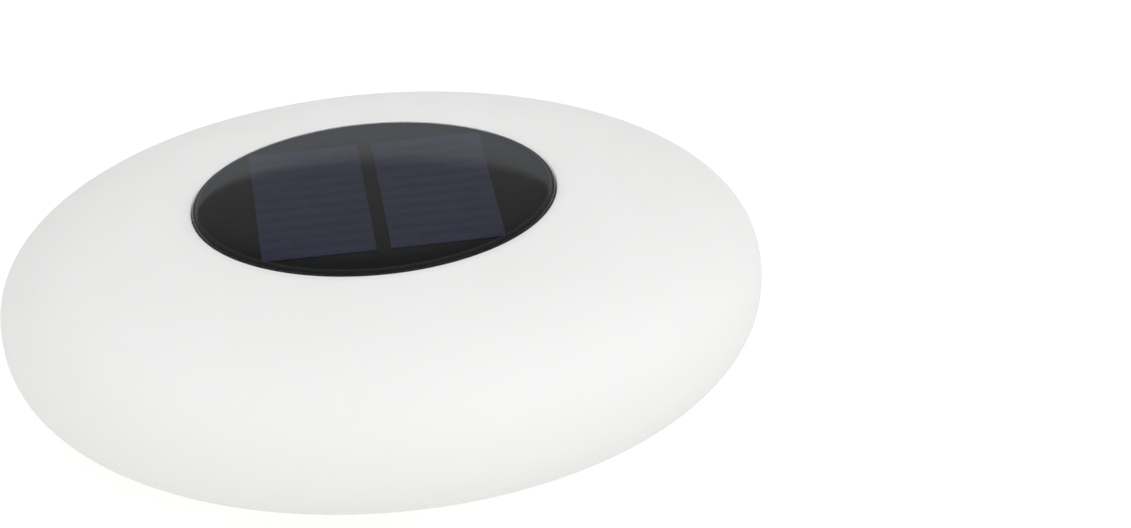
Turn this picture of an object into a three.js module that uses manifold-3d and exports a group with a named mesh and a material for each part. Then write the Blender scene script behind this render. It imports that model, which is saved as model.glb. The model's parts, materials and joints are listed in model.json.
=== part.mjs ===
// A floating solar pool light: a one-piece moulded float shell whose top opening takes a screw-in solar cap.
// The cap is the whole working unit: window, solar cells, battery, control board, light ring and button.
// Units are millimetres, +Z is up, and the origin is the centre of the flat foot that the light rests on.
import * as THREE from "three";
import { mergeVertices } from "three/addons/utils/BufferGeometryUtils.js";
import Module from "manifold-3d";

const wasm = await Module();
wasm.setup();

// ---------- driving dimensions ----------
const SHELL_RADIUS = 167.5;
const SHELL_WALL = 3;
const EQUATOR_Z = 49; // height of the widest circle
const UPPER_DEPTH = 44; // from the widest circle to the crown
const LOWER_DEPTH = 49.5; // from the widest circle to the keel
const RADIAL_POWER = 4; // (r / R) ^ 4 + (z / depth) ^ 2.3 = 1 is the shell's meridian
const AXIAL_POWER = 2.3;
const LENS_RADIUS = 79.5;
const LENS_WALL = 1.5;
const THREAD_LEAD = 24; // rise per turn of the cap's three-start thread
const THREAD_STARTS = 3;
const THREAD_SPAN = 240; // degrees that each rib of the neck runs, and that the cap turns to come free
const GAP = 0.1; // clearance between faces that rest on each other
const BOND = 0.05; // thickness of solder or glue under a small piece
const FIT = 0.6; // radial clearance of the cap in the shell and of the thread
const BOARD_THICKNESS = 1.6;
const FACETS = 48; // sides of a large round, a multiple of three so that the thread's starts fall on corners
const SHELL_FACETS = 60;
const HOLE_FACETS = 8;

// ---------- heights and radii worked out from them ----------
const meridianHeight = (r, depth) => depth * (1 - (r / SHELL_RADIUS) ** RADIAL_POWER) ** (1 / AXIAL_POWER);
const WELL_RADIUS = LENS_RADIUS + FIT;
const RIM_Z = EQUATOR_Z + meridianHeight(WELL_RADIUS, UPPER_DEPTH); // where the shell meets the lens
const DECK_TOP = RIM_Z - 1.6;
const DECK_BOTTOM = DECK_TOP - 3;
const LENS_FOOT = RIM_Z - 7;
const CAP_FLANGE_TOP = LENS_FOOT - GAP;
const CAP_FLANGE_BOTTOM = CAP_FLANGE_TOP - 2.5;
const SEAL_HEIGHT = 2.8;
const NECK_TOP = CAP_FLANGE_BOTTOM - SEAL_HEIGHT - 2 * GAP;
const NECK_FLANGE_BOTTOM = NECK_TOP - 3;
const NECK_GASKET_THICKNESS = 1.5;
const LEDGE_TOP = NECK_FLANGE_BOTTOM - NECK_GASKET_THICKNESS - 2 * GAP;
const LEDGE_BOTTOM = LEDGE_TOP - 6.5;
const LEDGE_RADIUS = 70.5; // the shell's opening
const NECK_OUTER = LEDGE_RADIUS - 0.5;
const NECK_INNER = 67.6;
const NECK_BOTTOM = NECK_TOP - 19.4;
const SKIRT_OUTER = 65.2;
const SKIRT_INNER = 62.7;
const SKIRT_BOTTOM = RIM_Z - 44;
const BASE_THICKNESS = 3;
const BASE_BOTTOM = SKIRT_BOTTOM - 1;
const BASE_TOP = BASE_BOTTOM + BASE_THICKNESS;
const CONTROL_TOP = DECK_BOTTOM - 7.9;
const CONTROL_BOTTOM = CONTROL_TOP - BOARD_THICKNESS;

// ---------- screws: length is measured under the head ----------
const NECK_SCREW = { head: 2.7, headHeight: 1.7, shank: 1.4, length: 7.6 };
const TETHER_SCREW = { head: 2.7, headHeight: 1.7, shank: 1.4, length: 11 };
const MODULE_SCREW = { head: 2.7, headHeight: 1.8, shank: 1.35, length: 12 };
const DOOR_SCREW = { head: 2.1, headHeight: 1.4, shank: 1, length: 9 };
const BOARD_SCREW = { head: 2.2, headHeight: 1.4, shank: 1, length: 7 };
const PILOT_ROOM = 0.35; // between a screw's shank and the hole that it drives into
const HOLE_ROOM = 0.5; // between a screw's shank and the hole that it passes through

// ---------- shapes that the parts are made from ----------

// The closed solid of a geometry, with shared vertices merged and collapsed faces dropped.
function solidOf(geometry) {
  const bare = geometry.clone();
  bare.deleteAttribute("normal");
  bare.deleteAttribute("uv");
  const merged = mergeVertices(bare, 1e-4);
  const index = merged.index.array;
  const faces = [];
  for (let i = 0; i < index.length; i += 3) {
    const [a, b, c] = [index[i], index[i + 1], index[i + 2]];
    if (a !== b && b !== c && c !== a) faces.push(a, b, c);
  }
  const vertProperties = merged.attributes.position.array;
  return new wasm.Manifold(new wasm.Mesh({ numProp: 3, vertProperties, triVerts: new Uint32Array(faces) }));
}

function geometryOf(solid) {
  const mesh = solid.getMesh();
  return new THREE.BufferGeometry()
    .setAttribute("position", new THREE.BufferAttribute(new Float32Array(mesh.vertProperties), 3))
    .setIndex(new THREE.BufferAttribute(new Uint32Array(mesh.triVerts), 1));
}

const join = (body, ...extras) =>
  geometryOf(extras.reduce((sum, extra) => sum.add(solidOf(extra)), solidOf(body)));

const cut = (body, ...cutters) =>
  geometryOf(cutters.reduce((rest, cutter) => rest.subtract(solidOf(cutter)), solidOf(body)));

// A solid of revolution about Z from [radius, height] pairs, listed with the outside going up.
// A profile that doesn't start on the axis is closed on itself.
function revolve(profile, segments = FACETS) {
  const points = profile.map(([r, z]) => new THREE.Vector2(r, z));
  if (profile[0][0] !== 0) points.push(points[0].clone());
  return new THREE.LatheGeometry(points, segments).rotateX(Math.PI / 2);
}

const ringBetween = (inner, outer, bottom, top, segments) =>
  revolve([[inner, bottom], [outer, bottom], [outer, top], [inner, top]], segments);

const disc = (radius, bottom, top, segments) =>
  revolve([[0, bottom], [radius, bottom], [radius, top], [0, top]], segments);

// A short upright cylinder at x, y.
const post = (x, y, radius, bottom, top, segments = HOLE_FACETS) =>
  disc(radius, bottom, top, segments).translate(x, y, 0);

// The same cylinder at each of several places.
const posts = (places, radius, bottom, top) => places.map(([x, y]) => post(x, y, radius, bottom, top));

// Holes that a set of screws drives into, and holes that it passes through.
const pilots = (places, { shank }, bottom, top) => posts(places, shank + PILOT_ROOM, bottom, top);
const holes = (places, { shank }, bottom, top) => posts(places, shank + HOLE_ROOM, bottom, top);

// Points on an arc in the profile plane, by angles in degrees.
function arc(centreR, centreZ, radius, from, to, steps) {
  return Array.from({ length: steps + 1 }, (_, i) => {
    const angle = THREE.MathUtils.degToRad(from + ((to - from) * i) / steps);
    return [centreR + radius * Math.cos(angle), centreZ + radius * Math.sin(angle)];
  });
}

function roundedRectangle(width, depth, corner) {
  const [x, y] = [width / 2, depth / 2];
  const shape = new THREE.Shape();
  shape.moveTo(x, corner - y);
  shape.absarc(x - corner, y - corner, corner, 0, Math.PI / 2);
  shape.absarc(corner - x, y - corner, corner, Math.PI / 2, Math.PI);
  shape.absarc(corner - x, corner - y, corner, Math.PI, 1.5 * Math.PI);
  shape.absarc(x - corner, corner - y, corner, 1.5 * Math.PI, 2 * Math.PI);
  return shape;
}

// A flat plate with rounded corners, centred on the axis.
function plate(width, depth, corner, bottom, top) {
  const options = { depth: top - bottom, bevelEnabled: false, curveSegments: 1 };
  return new THREE.ExtrudeGeometry(roundedRectangle(width, depth, corner), options).translate(0, 0, bottom);
}

const block = (width, depth, bottom, top, x = 0) =>
  new THREE.BoxGeometry(width, depth, top - bottom).translate(x, 0, (top + bottom) / 2);

// One helical rib: a flat annular sector sheared so that it climbs with the thread's lead.
function helicalRib(inner, outer, thickness, startDegrees, spanDegrees, startZ) {
  const [start, span] = [startDegrees, spanDegrees].map(THREE.MathUtils.degToRad);
  const shape = new THREE.Shape();
  shape.absarc(0, 0, outer, 0, span, false);
  shape.absarc(0, 0, inner, span, 0, true);
  const curveSegments = (spanDegrees * FACETS) / 360 / 2; // an arc is drawn with twice this many sides
  const rib = new THREE.ExtrudeGeometry(shape, { depth: thickness, bevelEnabled: false, curveSegments });
  const position = rib.attributes.position;
  for (let i = 0; i < position.count; i++) {
    const turn = Math.atan2(position.getY(i), position.getX(i));
    const angle = turn < -0.01 ? turn + 2 * Math.PI : turn;
    position.setZ(i, position.getZ(i) + (THREAD_LEAD * angle) / (2 * Math.PI));
  }
  return rib.rotateZ(start).translate(0, 0, startZ - thickness / 2);
}

// The angles in degrees at which the thread's ribs start.
const threadStarts = Array.from({ length: THREAD_STARTS }, (_, i) => (360 / THREAD_STARTS) * i);

// A round bar along points joined by a smooth curve.
function rod(points, radius, steps, sides) {
  const path = new THREE.CatmullRomCurve3(points.map((p) => new THREE.Vector3(...p)), false, "centripetal");
  const section = new THREE.Shape();
  for (let i = 0; i < sides; i++) {
    const angle = (2 * Math.PI * i) / sides;
    section[i ? "lineTo" : "moveTo"](radius * Math.cos(angle), radius * Math.sin(angle));
  }
  section.closePath();
  return new THREE.ExtrudeGeometry(section, { steps, bevelEnabled: false, extrudePath: path });
}

// A pan-head screw that seats at the origin with its head up and its shank down.
function screwShape({ head, headHeight, shank, length }) {
  const profile = [
    [0, -length],
    [shank, -length],
    [shank, 0],
    [head, 0],
    [head * 0.85, headHeight],
    [0, headHeight],
  ];
  return revolve(profile, 10);
}

// ---------- scene graph ----------

function groupIn(parent, x = 0, y = 0, z = 0) {
  const group = new THREE.Group();
  group.position.set(x, y, z);
  parent.add(group);
  return group;
}

function add(group, name, geometry, material, x = 0, y = 0, z = 0) {
  const mesh = new THREE.Mesh(geometry, material);
  mesh.name = name;
  mesh.position.set(x, y, z);
  group.add(mesh);
  return mesh;
}

// A numbered set of like screws that seat at height z and are driven down, or up from below.
function addScrews(group, name, spec, places, z, fromBelow = false) {
  places.forEach(([x, y], i) => {
    const screw = add(group, `${name}_${i + 1}`, screwShape(spec), steel, x, y, z);
    if (fromBelow) screw.rotation.x = Math.PI;
  });
}

const finish = (color, roughness, metalness = 0) =>
  new THREE.MeshStandardMaterial({ color, roughness, metalness });
const milkyPlastic = finish(0xecedea, 0.5);
const clearPlastic = finish(0x30343a, 0.08);
const frostedPlastic = finish(0xdfe3e6, 0.6);
const blackPlastic = finish(0x1c1e1f, 0.45);
const siliconCell = finish(0x1d2036, 0.25);
const blackLaminate = finish(0x232525, 0.4);
const greenLaminate = finish(0x14503a, 0.4);
const whiteLaminate = finish(0xe6e6e2, 0.4);
const blackRubber = finish(0x161616, 0.8);
const greySilicone = finish(0x9a9d9c, 0.6);
const steel = finish(0xb9bcc0, 0.3, 1);
const copper = finish(0xb46a3a, 0.35, 1);
const batteryWrap = finish(0x2463a8, 0.35);
const ledPackage = finish(0xf3ecc8, 0.3);
const redWire = finish(0xa81f1f, 0.5);
const blackWire = finish(0x151515, 0.5);

const light = new THREE.Group();
const float = groupIn(light);
const solarCap = groupIn(light);

// ---------- float: shell and neck ----------

const FOOT_OUTER = 65;
const RECESS_RADIUS = 30; // of the tether's recess in the middle of the foot
const RECESS_ROUND = 3;
const RECESS_CEILING = 12;
const RECESS_LEAN = 1; // how much wider the recess is at the foot
const BOSS_RADIUS = 17;
const BOSS_TOP = RECESS_CEILING + 12;
const RIM_LIP = 1.5; // rounding of the shell's edge beside the lens
const TETHER_SCREW_X = 11.5;
const TETHER_SCREW_PLACES = [[-TETHER_SCREW_X, 0], [TETHER_SCREW_X, 0]];
const NECK_SCREW_COUNT = 6;
const NECK_SCREW_CIRCLE = 76.8;
const NECK_SCREW_PLACES = Array.from({ length: NECK_SCREW_COUNT }, (_, i) => {
  const angle = (2 * Math.PI * (i + 0.5)) / NECK_SCREW_COUNT;
  return [NECK_SCREW_CIRCLE * Math.cos(angle), NECK_SCREW_CIRCLE * Math.sin(angle)];
});

// The meridian between two radii, over the widest circle. Each half is a superellipse quarter.
function meridian(offset, fromRadius, toRadius, steps) {
  const radius = SHELL_RADIUS - offset;
  const parameterAt = (r) => Math.acos((r / radius) ** (RADIAL_POWER / 2));
  const [low, high] = [-parameterAt(fromRadius), parameterAt(toRadius)];
  return Array.from({ length: steps + 1 }, (_, i) => {
    const t = low + ((high - low) * i) / steps;
    const depth = (t < 0 ? LOWER_DEPTH : UPPER_DEPTH) - offset;
    const height = Math.sign(t) * depth * Math.abs(Math.sin(t)) ** (2 / AXIAL_POWER);
    return [radius * Math.cos(t) ** (2 / RADIAL_POWER), EQUATOR_Z + height];
  });
}

function floatShell() {
  const recessEdge = RECESS_RADIUS - RECESS_ROUND;
  const keelEdge = FOOT_OUTER + 3; // where the curved hull leaves the flat foot
  const profile = [
    [0, RECESS_CEILING],
    [recessEdge, RECESS_CEILING],
    [RECESS_RADIUS, RECESS_CEILING - RECESS_ROUND],
    [RECESS_RADIUS + RECESS_LEAN, 0],
    [FOOT_OUTER, 0],
    ...meridian(0, keelEdge, WELL_RADIUS + RIM_LIP, 15),
    ...arc(WELL_RADIUS + RIM_LIP, RIM_Z - RIM_LIP, RIM_LIP, 90, 180, 2).slice(1),
    [WELL_RADIUS, LEDGE_TOP],
    [LEDGE_RADIUS, LEDGE_TOP],
    [LEDGE_RADIUS, LEDGE_BOTTOM],
    [WELL_RADIUS + SHELL_WALL, LEDGE_BOTTOM],
    ...meridian(SHELL_WALL, keelEdge, WELL_RADIUS + SHELL_WALL, 6).reverse(),
    [RECESS_RADIUS + RECESS_LEAN + SHELL_WALL, SHELL_WALL],
    [RECESS_RADIUS + SHELL_WALL, RECESS_CEILING + SHELL_WALL],
    [BOSS_RADIUS, RECESS_CEILING + SHELL_WALL],
    [BOSS_RADIUS, BOSS_TOP],
    [0, BOSS_TOP],
  ];
  const neckPilots = pilots(NECK_SCREW_PLACES, NECK_SCREW, LEDGE_BOTTOM + 0.6, LEDGE_TOP + 1);
  const tetherPilots = pilots(TETHER_SCREW_PLACES, TETHER_SCREW, RECESS_CEILING - 1, BOSS_TOP - SHELL_WALL);
  return cut(revolve(profile, SHELL_FACETS), ...neckPilots, ...tetherPilots);
}

const RIB_THICKNESS = 2.2;
const RIB_ROOT = 0.8; // how far a rib or lug is sunk into the wall that carries it
const NECK_RIB_START = NECK_BOTTOM + RIB_THICKNESS / 2 + GAP;
const RIB_OFFSET = 2.8; // how far the cap's lugs run below the neck's ribs, centre to centre
const LUG_SPAN = 60;
const SCREW_HEAD_SINK = 2;
const FLANGE_OUTER = WELL_RADIUS - 0.4;

function neckRing() {
  const body = revolve([
    [NECK_INNER, NECK_BOTTOM],
    [NECK_OUTER, NECK_BOTTOM],
    [NECK_OUTER, NECK_FLANGE_BOTTOM],
    [FLANGE_OUTER, NECK_FLANGE_BOTTOM],
    [FLANGE_OUTER, NECK_TOP],
    [NECK_INNER, NECK_TOP],
  ]);
  const ribs = threadStarts.map((start) =>
    helicalRib(SKIRT_OUTER + FIT, NECK_INNER + RIB_ROOT, RIB_THICKNESS, start, THREAD_SPAN, NECK_RIB_START),
  );
  const screwHoles = holes(NECK_SCREW_PLACES, NECK_SCREW, NECK_FLANGE_BOTTOM - 1, NECK_TOP + 1);
  const sinks = posts(NECK_SCREW_PLACES, NECK_SCREW.head + 0.4, NECK_TOP - SCREW_HEAD_SINK, NECK_TOP + 1);
  return cut(join(body, ...ribs), ...screwHoles, ...sinks);
}

function neckGasket() {
  const bottom = LEDGE_TOP + GAP;
  const top = bottom + NECK_GASKET_THICKNESS;
  const ring = ringBetween(NECK_OUTER + 0.8, FLANGE_OUTER, bottom, top);
  return cut(ring, ...holes(NECK_SCREW_PLACES, NECK_SCREW, bottom - 1, top + 1));
}

add(float, "float_shell", floatShell(), milkyPlastic);
add(float, "neck_ring", neckRing(), blackPlastic);
add(float, "neck_gasket", neckGasket(), greySilicone);
addScrews(float, "neck_screw", NECK_SCREW, NECK_SCREW_PLACES, NECK_TOP - SCREW_HEAD_SINK + GAP);

// ---------- float: tether bracket and its folding ring ----------

const TETHER_AXIS_Z = 5;
const TETHER_WIRE = 1.5;
const RING_HALF_WIDTH = 13;
const RING_ARM = 10; // from the hinge line to where the round end starts
const RING_CORNER = 2.5;
const RING_ROOM = 0.35; // between the ring's bar and its hole in the ears
const EAR_THICKNESS = 3;
const EAR_WIDTH = 9;
const EAR_X = 6;
const EAR_BOTTOM = 2.6;
const BRACKET_LENGTH = 30;
const BRACKET_WIDTH = 16;
const BRACKET_CORNER = 4;
const BRACKET_TOP = RECESS_CEILING - GAP;
const BRACKET_BOTTOM = BRACKET_TOP - 3;

function tetherBracket() {
  const base = plate(BRACKET_LENGTH, BRACKET_WIDTH, BRACKET_CORNER, BRACKET_BOTTOM, BRACKET_TOP);
  const earShape = (x) => block(EAR_THICKNESS, EAR_WIDTH, EAR_BOTTOM, BRACKET_BOTTOM + 1, x);
  const reach = EAR_X + EAR_THICKNESS;
  const pinHole = disc(TETHER_WIRE + RING_ROOM, -reach, reach, 10).rotateY(Math.PI / 2);
  const screwHoles = holes(TETHER_SCREW_PLACES, TETHER_SCREW, BRACKET_BOTTOM - 1, BRACKET_TOP + 1);
  const body = join(base, earShape(-EAR_X), earShape(EAR_X));
  return cut(body, pinHole.translate(0, 0, TETHER_AXIS_Z), ...screwHoles);
}

// A bent wire bail about its own straight bar, with two arms and a round end, and its ends butted at mid bar.
function tetherRing() {
  const bar = [0.2, 2.5, 5, RING_HALF_WIDTH - RING_CORNER];
  const bend = (1 - Math.SQRT1_2) * RING_CORNER;
  const right = [
    ...bar.map((x) => [x, 0]),
    [RING_HALF_WIDTH - bend, bend],
    [RING_HALF_WIDTH, RING_CORNER],
    [RING_HALF_WIDTH, RING_ARM - 2],
    [RING_HALF_WIDTH, RING_ARM],
  ];
  const left = right.map(([x, y]) => [-x, y]).reverse();
  const end = arc(0, RING_ARM, RING_HALF_WIDTH, 30, 150, 4);
  const points = [...right, ...end, ...left].map(([x, y]) => [x, y, 0]);
  return rod(points, TETHER_WIRE, 30, 6);
}

add(float, "tether_bracket", tetherBracket(), blackPlastic);
addScrews(float, "tether_screw", TETHER_SCREW, TETHER_SCREW_PLACES, BRACKET_BOTTOM - GAP, true);
add(float, "tether_ring", tetherRing(), steel, 0, 0, TETHER_AXIS_Z);

// ---------- seal between the neck and the cap ----------

const SEAL_INNER = 69.9;
const SEAL_OUTER = 73.1;
const capSeal = ringBetween(SEAL_INNER, SEAL_OUTER, 0, SEAL_HEIGHT);
add(light, "cap_seal", capSeal, blackRubber, 0, 0, NECK_TOP + GAP);

// ---------- solar cap: window, panel and housing ----------

const LENS_RISE = 7.5; // from the shell's rim to the top of the dome
const DOME_POWER = 0.4; // z / rise = (1 - (r / R) ^ 2) ^ 0.4 is the dome's section
const PANEL_RADIUS = 77.2;
const CELL_LENGTH = 113.2;
const CELL_WIDTH = 49;
const CELL_THICKNESS = 0.5;
const CELL_GAP = 6.1;
const GROOVE_INNER = 66; // the groove that lightens the housing's rim
const GROOVE_OUTER = 76;
const MODULE_BOSS_RADIUS = 3.6;
const MODULE_BOSS_DEPTH = 12; // of the hole that a module screw drives into
const BOARD_POST_RADIUS = 3;
const BOARD_POST_DEPTH = 7; // of the hole that a board screw drives into
const WIRE_HOLE_Y = 30;
const WIRE_SPACING = 4;
const PANEL_LEAD_RADIUS = 0.8;
const MODULE_SCREW_PLACES = [[25.7, 30.6], [-25.7, 30.6], [-25.7, -30.6], [25.7, -30.6]];
const BOARD_SCREW_PLACES = [[28, 18], [-28, -18]];

// A dome's section at angles in degrees, from 0 at the upright rim to 90 at the axis.
function domeSection(radius, rise, angles) {
  return angles.map((degrees) => {
    const angle = THREE.MathUtils.degToRad(degrees);
    const z = RIM_Z + rise * Math.sin(angle) ** (2 * DOME_POWER);
    return [degrees === 90 ? 0 : radius * Math.cos(angle), z];
  });
}

function lensDome() {
  const inner = LENS_RADIUS - LENS_WALL;
  const inside = domeSection(inner, LENS_RISE - LENS_WALL, [0, 9, 18, 36, 60, 90]).reverse();
  const outside = domeSection(LENS_RADIUS, LENS_RISE, [0, 4, 10, 18, 28, 40, 54, 70, 90]);
  return revolve([...inside, [inner, LENS_FOOT], [LENS_RADIUS, LENS_FOOT], ...outside]);
}

function capHousing() {
  const spigot = LENS_RADIUS - LENS_WALL - 0.3;
  const shoulderZ = BASE_TOP + 1.3;
  const shoulderRadius = SKIRT_INNER - 2;
  const body = revolve([
    [0, DECK_BOTTOM],
    [shoulderRadius, DECK_BOTTOM],
    [shoulderRadius, shoulderZ],
    [SKIRT_INNER, shoulderZ],
    [SKIRT_INNER, SKIRT_BOTTOM],
    [SKIRT_OUTER, SKIRT_BOTTOM],
    [SKIRT_OUTER, CAP_FLANGE_BOTTOM],
    [LENS_RADIUS - 0.2, CAP_FLANGE_BOTTOM],
    [LENS_RADIUS - 0.2, CAP_FLANGE_TOP],
    [spigot, CAP_FLANGE_TOP],
    [spigot, DECK_TOP],
    [GROOVE_OUTER, DECK_TOP],
    [GROOVE_OUTER, CAP_FLANGE_TOP],
    [GROOVE_INNER, CAP_FLANGE_TOP],
    [GROOVE_INNER, DECK_TOP],
    [0, DECK_TOP],
  ]);
  const lugStart = NECK_RIB_START - RIB_OFFSET;
  const lugs = threadStarts.map((start) =>
    helicalRib(SKIRT_OUTER - RIB_ROOT, NECK_INNER - FIT, RIB_THICKNESS, start, LUG_SPAN, lugStart),
  );
  const bosses = posts(MODULE_SCREW_PLACES, MODULE_BOSS_RADIUS, BASE_TOP + GAP, DECK_BOTTOM + 1);
  const boardPosts = posts(BOARD_SCREW_PLACES, BOARD_POST_RADIUS, CONTROL_TOP + GAP, DECK_BOTTOM + 1);
  const bossPilots = pilots(MODULE_SCREW_PLACES, MODULE_SCREW, BASE_TOP - 1, BASE_TOP + MODULE_BOSS_DEPTH);
  const postPilots = pilots(BOARD_SCREW_PLACES, BOARD_SCREW, CONTROL_TOP - 1, CONTROL_TOP + BOARD_POST_DEPTH);
  const wireSlot = plate(WIRE_SPACING + 4, 4, 1.9, DECK_BOTTOM - 1, DECK_TOP + 1);
  const moulding = join(body, ...lugs, ...bosses, ...boardPosts);
  return cut(moulding, ...bossPilots, ...postPilots, wireSlot.translate(0, WIRE_HOLE_Y, 0));
}

// A lead from under the panel, through the deck's slot, to the control board.
function panelLead() {
  const points = [
    [0, WIRE_HOLE_Y, DECK_TOP - 0.3],
    [0, WIRE_HOLE_Y, DECK_BOTTOM - 1],
    [0, WIRE_HOLE_Y - 4, DECK_BOTTOM - 3.5],
    [0, WIRE_HOLE_Y - 11, DECK_BOTTOM - 4],
    [0, WIRE_HOLE_Y - 14, CONTROL_TOP + 2],
    [0, WIRE_HOLE_Y - 14, CONTROL_TOP + 0.3],
  ];
  return rod(points, PANEL_LEAD_RADIUS, 8, 4);
}

add(solarCap, "lens_dome", lensDome(), clearPlastic);
add(solarCap, "cap_housing", capHousing(), blackPlastic);
const panel = groupIn(solarCap, 0, 0, DECK_TOP + GAP);
add(panel, "panel_board", disc(PANEL_RADIUS, 0, BOARD_THICKNESS), blackLaminate);
const cellShape = plate(CELL_WIDTH, CELL_LENGTH, 0.6, 0, CELL_THICKNESS);
const cellX = (CELL_WIDTH + CELL_GAP) / 2;
add(panel, "solar_cell_left", cellShape, siliconCell, -cellX, 0, BOARD_THICKNESS + BOND);
add(panel, "solar_cell_right", cellShape, siliconCell, cellX, 0, BOARD_THICKNESS + BOND);
add(solarCap, "panel_lead_red", panelLead(), redWire, WIRE_SPACING / 2);
add(solarCap, "panel_lead_black", panelLead(), blackWire, -WIRE_SPACING / 2);

// ---------- solar cap: module base with the battery bay ----------

const BAY_LENGTH = 70; // inside the battery bay
const BAY_WIDTH = 20;
const BAY_WALL = 1.8;
const BAY_CORNER = 1.2;
const BAY_CEILING = BASE_TOP + 22.5;
const BAY_TOP = BAY_CEILING + 1.5;
const BATTERY_RADIUS = 9.1;
const BATTERY_LENGTH = 64;
const BATTERY_BUTTON = { radius: 4, height: 1.2 };
const BATTERY_Z = BASE_TOP + 12;
const CONTACT_THICKNESS = 0.5;
const CONTACT_WIDTH = 12;
const SPRING_WIRE = 0.45;
const SPRING_TURNS = 3;
const DOOR_SCREW_PLACES = [[-39.2, 0], [39.2, 0]];
const DOOR_BOSS_RADIUS = 2.6;
const BUTTON_Y = -29;
const BUTTON_RADIUS = 3.4;
const BUTTON_COLLAR = 1.3;
const BUTTON_TRAVEL = 1.5;
const SWITCH_POST_PLACES = [[-9, BUTTON_Y], [9, BUTTON_Y]];
const SWITCH_POST_RADIUS = 2;
const SWITCH_BOARD_RISE = BASE_THICKNESS + 12; // above the module base's underside
const LEAD_X = BAY_LENGTH / 2 - 0.9;
const LEAD_Y = 6;
const LEAD_PLACES = [[-LEAD_X, LEAD_Y], [LEAD_X, LEAD_Y]];
const LEAD_RADIUS = 0.7;
const CABLE_Y = 53;
const CABLE_RADIUS = 1.5;
const CABLE_HOLE_RADIUS = CABLE_RADIUS + 0.7;

function moduleBase() {
  const body = disc(SKIRT_INNER - 0.3, BASE_BOTTOM, BASE_TOP);
  const bayLength = BAY_LENGTH + 2 * BAY_WALL;
  const bay = plate(bayLength, BAY_WIDTH + 2 * BAY_WALL, BAY_CORNER + BAY_WALL, BASE_TOP - 1, BAY_TOP);
  const doorBosses = posts(DOOR_SCREW_PLACES, DOOR_BOSS_RADIUS, BASE_TOP - 1, BASE_TOP + 4);
  const postTop = BASE_BOTTOM + SWITCH_BOARD_RISE - GAP;
  const switchPosts = posts(SWITCH_POST_PLACES, SWITCH_POST_RADIUS, BASE_TOP - 1, postTop);
  const hollow = plate(BAY_LENGTH, BAY_WIDTH, BAY_CORNER, BASE_BOTTOM - 1, BAY_CEILING);
  const [below, above] = [BASE_BOTTOM - 1, BASE_TOP + 1];
  const doorPilots = pilots(DOOR_SCREW_PLACES, DOOR_SCREW, below, BASE_TOP + 3);
  const screwHoles = holes(MODULE_SCREW_PLACES, MODULE_SCREW, below, above);
  const buttonHole = post(0, BUTTON_Y, BUTTON_RADIUS + BUTTON_COLLAR + 0.5, below, above, 16);
  const leadHoles = posts(LEAD_PLACES, LEAD_RADIUS + 0.5, BAY_CEILING - 1, BAY_TOP + 1);
  const cableHole = post(0, CABLE_Y, CABLE_HOLE_RADIUS, below, above);
  const outside = join(body, bay, ...doorBosses, ...switchPosts);
  return cut(outside, hollow, ...doorPilots, ...screwHoles, buttonHole, ...leadHoles, cableHole);
}

// The cell lies along X with its button end at -X.
function batteryCell() {
  const profile = [
    [0, 0],
    [BATTERY_RADIUS, 0],
    [BATTERY_RADIUS, BATTERY_LENGTH],
    [BATTERY_BUTTON.radius, BATTERY_LENGTH],
    [BATTERY_BUTTON.radius, BATTERY_LENGTH + BATTERY_BUTTON.height],
    [0, BATTERY_LENGTH + BATTERY_BUTTON.height],
  ];
  return revolve(profile, 16).rotateY(-Math.PI / 2).translate(BATTERY_LENGTH / 2, 0, 0);
}

// A conical spring pressed between the cell and the bay's end wall.
function batterySpring() {
  const near = BATTERY_LENGTH / 2 + SPRING_WIRE + GAP;
  const far = BAY_LENGTH / 2 - SPRING_WIRE - 4 * GAP;
  const [nearRadius, farRadius] = [2.6, 5.4];
  const steps = SPRING_TURNS * 7;
  const points = Array.from({ length: steps + 1 }, (_, i) => {
    const share = i / steps;
    const angle = 2 * Math.PI * SPRING_TURNS * share;
    const radius = THREE.MathUtils.lerp(nearRadius, farRadius, share);
    return [THREE.MathUtils.lerp(near, far, share), radius * Math.cos(angle), radius * Math.sin(angle)];
  });
  return rod(points, SPRING_WIRE, steps, 4);
}

// A lead from the battery bay's ceiling to the underside of the control board.
function batteryLead(side) {
  const x = side * LEAD_X;
  const points = [
    [x, LEAD_Y, BATTERY_Z + 8],
    [x, LEAD_Y, BAY_CEILING + 2.2],
    [x - side * 4, LEAD_Y + 1, BAY_CEILING + 3.4],
    [x - side * 7, LEAD_Y + 2, CONTROL_BOTTOM - 1.6],
    [x - side * 8, LEAD_Y + 2, CONTROL_BOTTOM - 0.3],
  ];
  return rod(points, LEAD_RADIUS, 8, 4);
}

const moduleSeal = ringBetween(SKIRT_INNER - 1.8, SKIRT_INNER - 0.3, 0, 1.2);
const contactShape = new THREE.BoxGeometry(CONTACT_THICKNESS, CONTACT_WIDTH, CONTACT_WIDTH);
const contactX = (CONTACT_THICKNESS - BAY_LENGTH) / 2 + GAP;
add(solarCap, "module_base", moduleBase(), blackPlastic);
add(solarCap, "module_seal", moduleSeal, greySilicone, 0, 0, BASE_TOP + BOND);
addScrews(solarCap, "module_screw", MODULE_SCREW, MODULE_SCREW_PLACES, BASE_BOTTOM - GAP, true);
add(solarCap, "battery_lead_red", batteryLead(-1), redWire);
add(solarCap, "battery_lead_black", batteryLead(1), blackWire);
const battery = groupIn(solarCap, 0, 0, BATTERY_Z);
add(battery, "battery_cell", batteryCell(), batteryWrap);
add(battery, "battery_spring", batterySpring(), steel);
add(battery, "battery_contact", contactShape, steel, contactX);

// ---------- solar cap: battery door ----------

const DOOR_GASKET_THICKNESS = 1;
const DOOR_GASKET_BOTTOM = BASE_BOTTOM - BOND - DOOR_GASKET_THICKNESS;
const DOOR_THICKNESS = 2.4;
const DOOR_BOTTOM = DOOR_GASKET_BOTTOM - BOND - DOOR_THICKNESS;
const DOOR_LENGTH = 84;
const DOOR_WIDTH = 27;
const DOOR_CORNER = 8;

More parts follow.
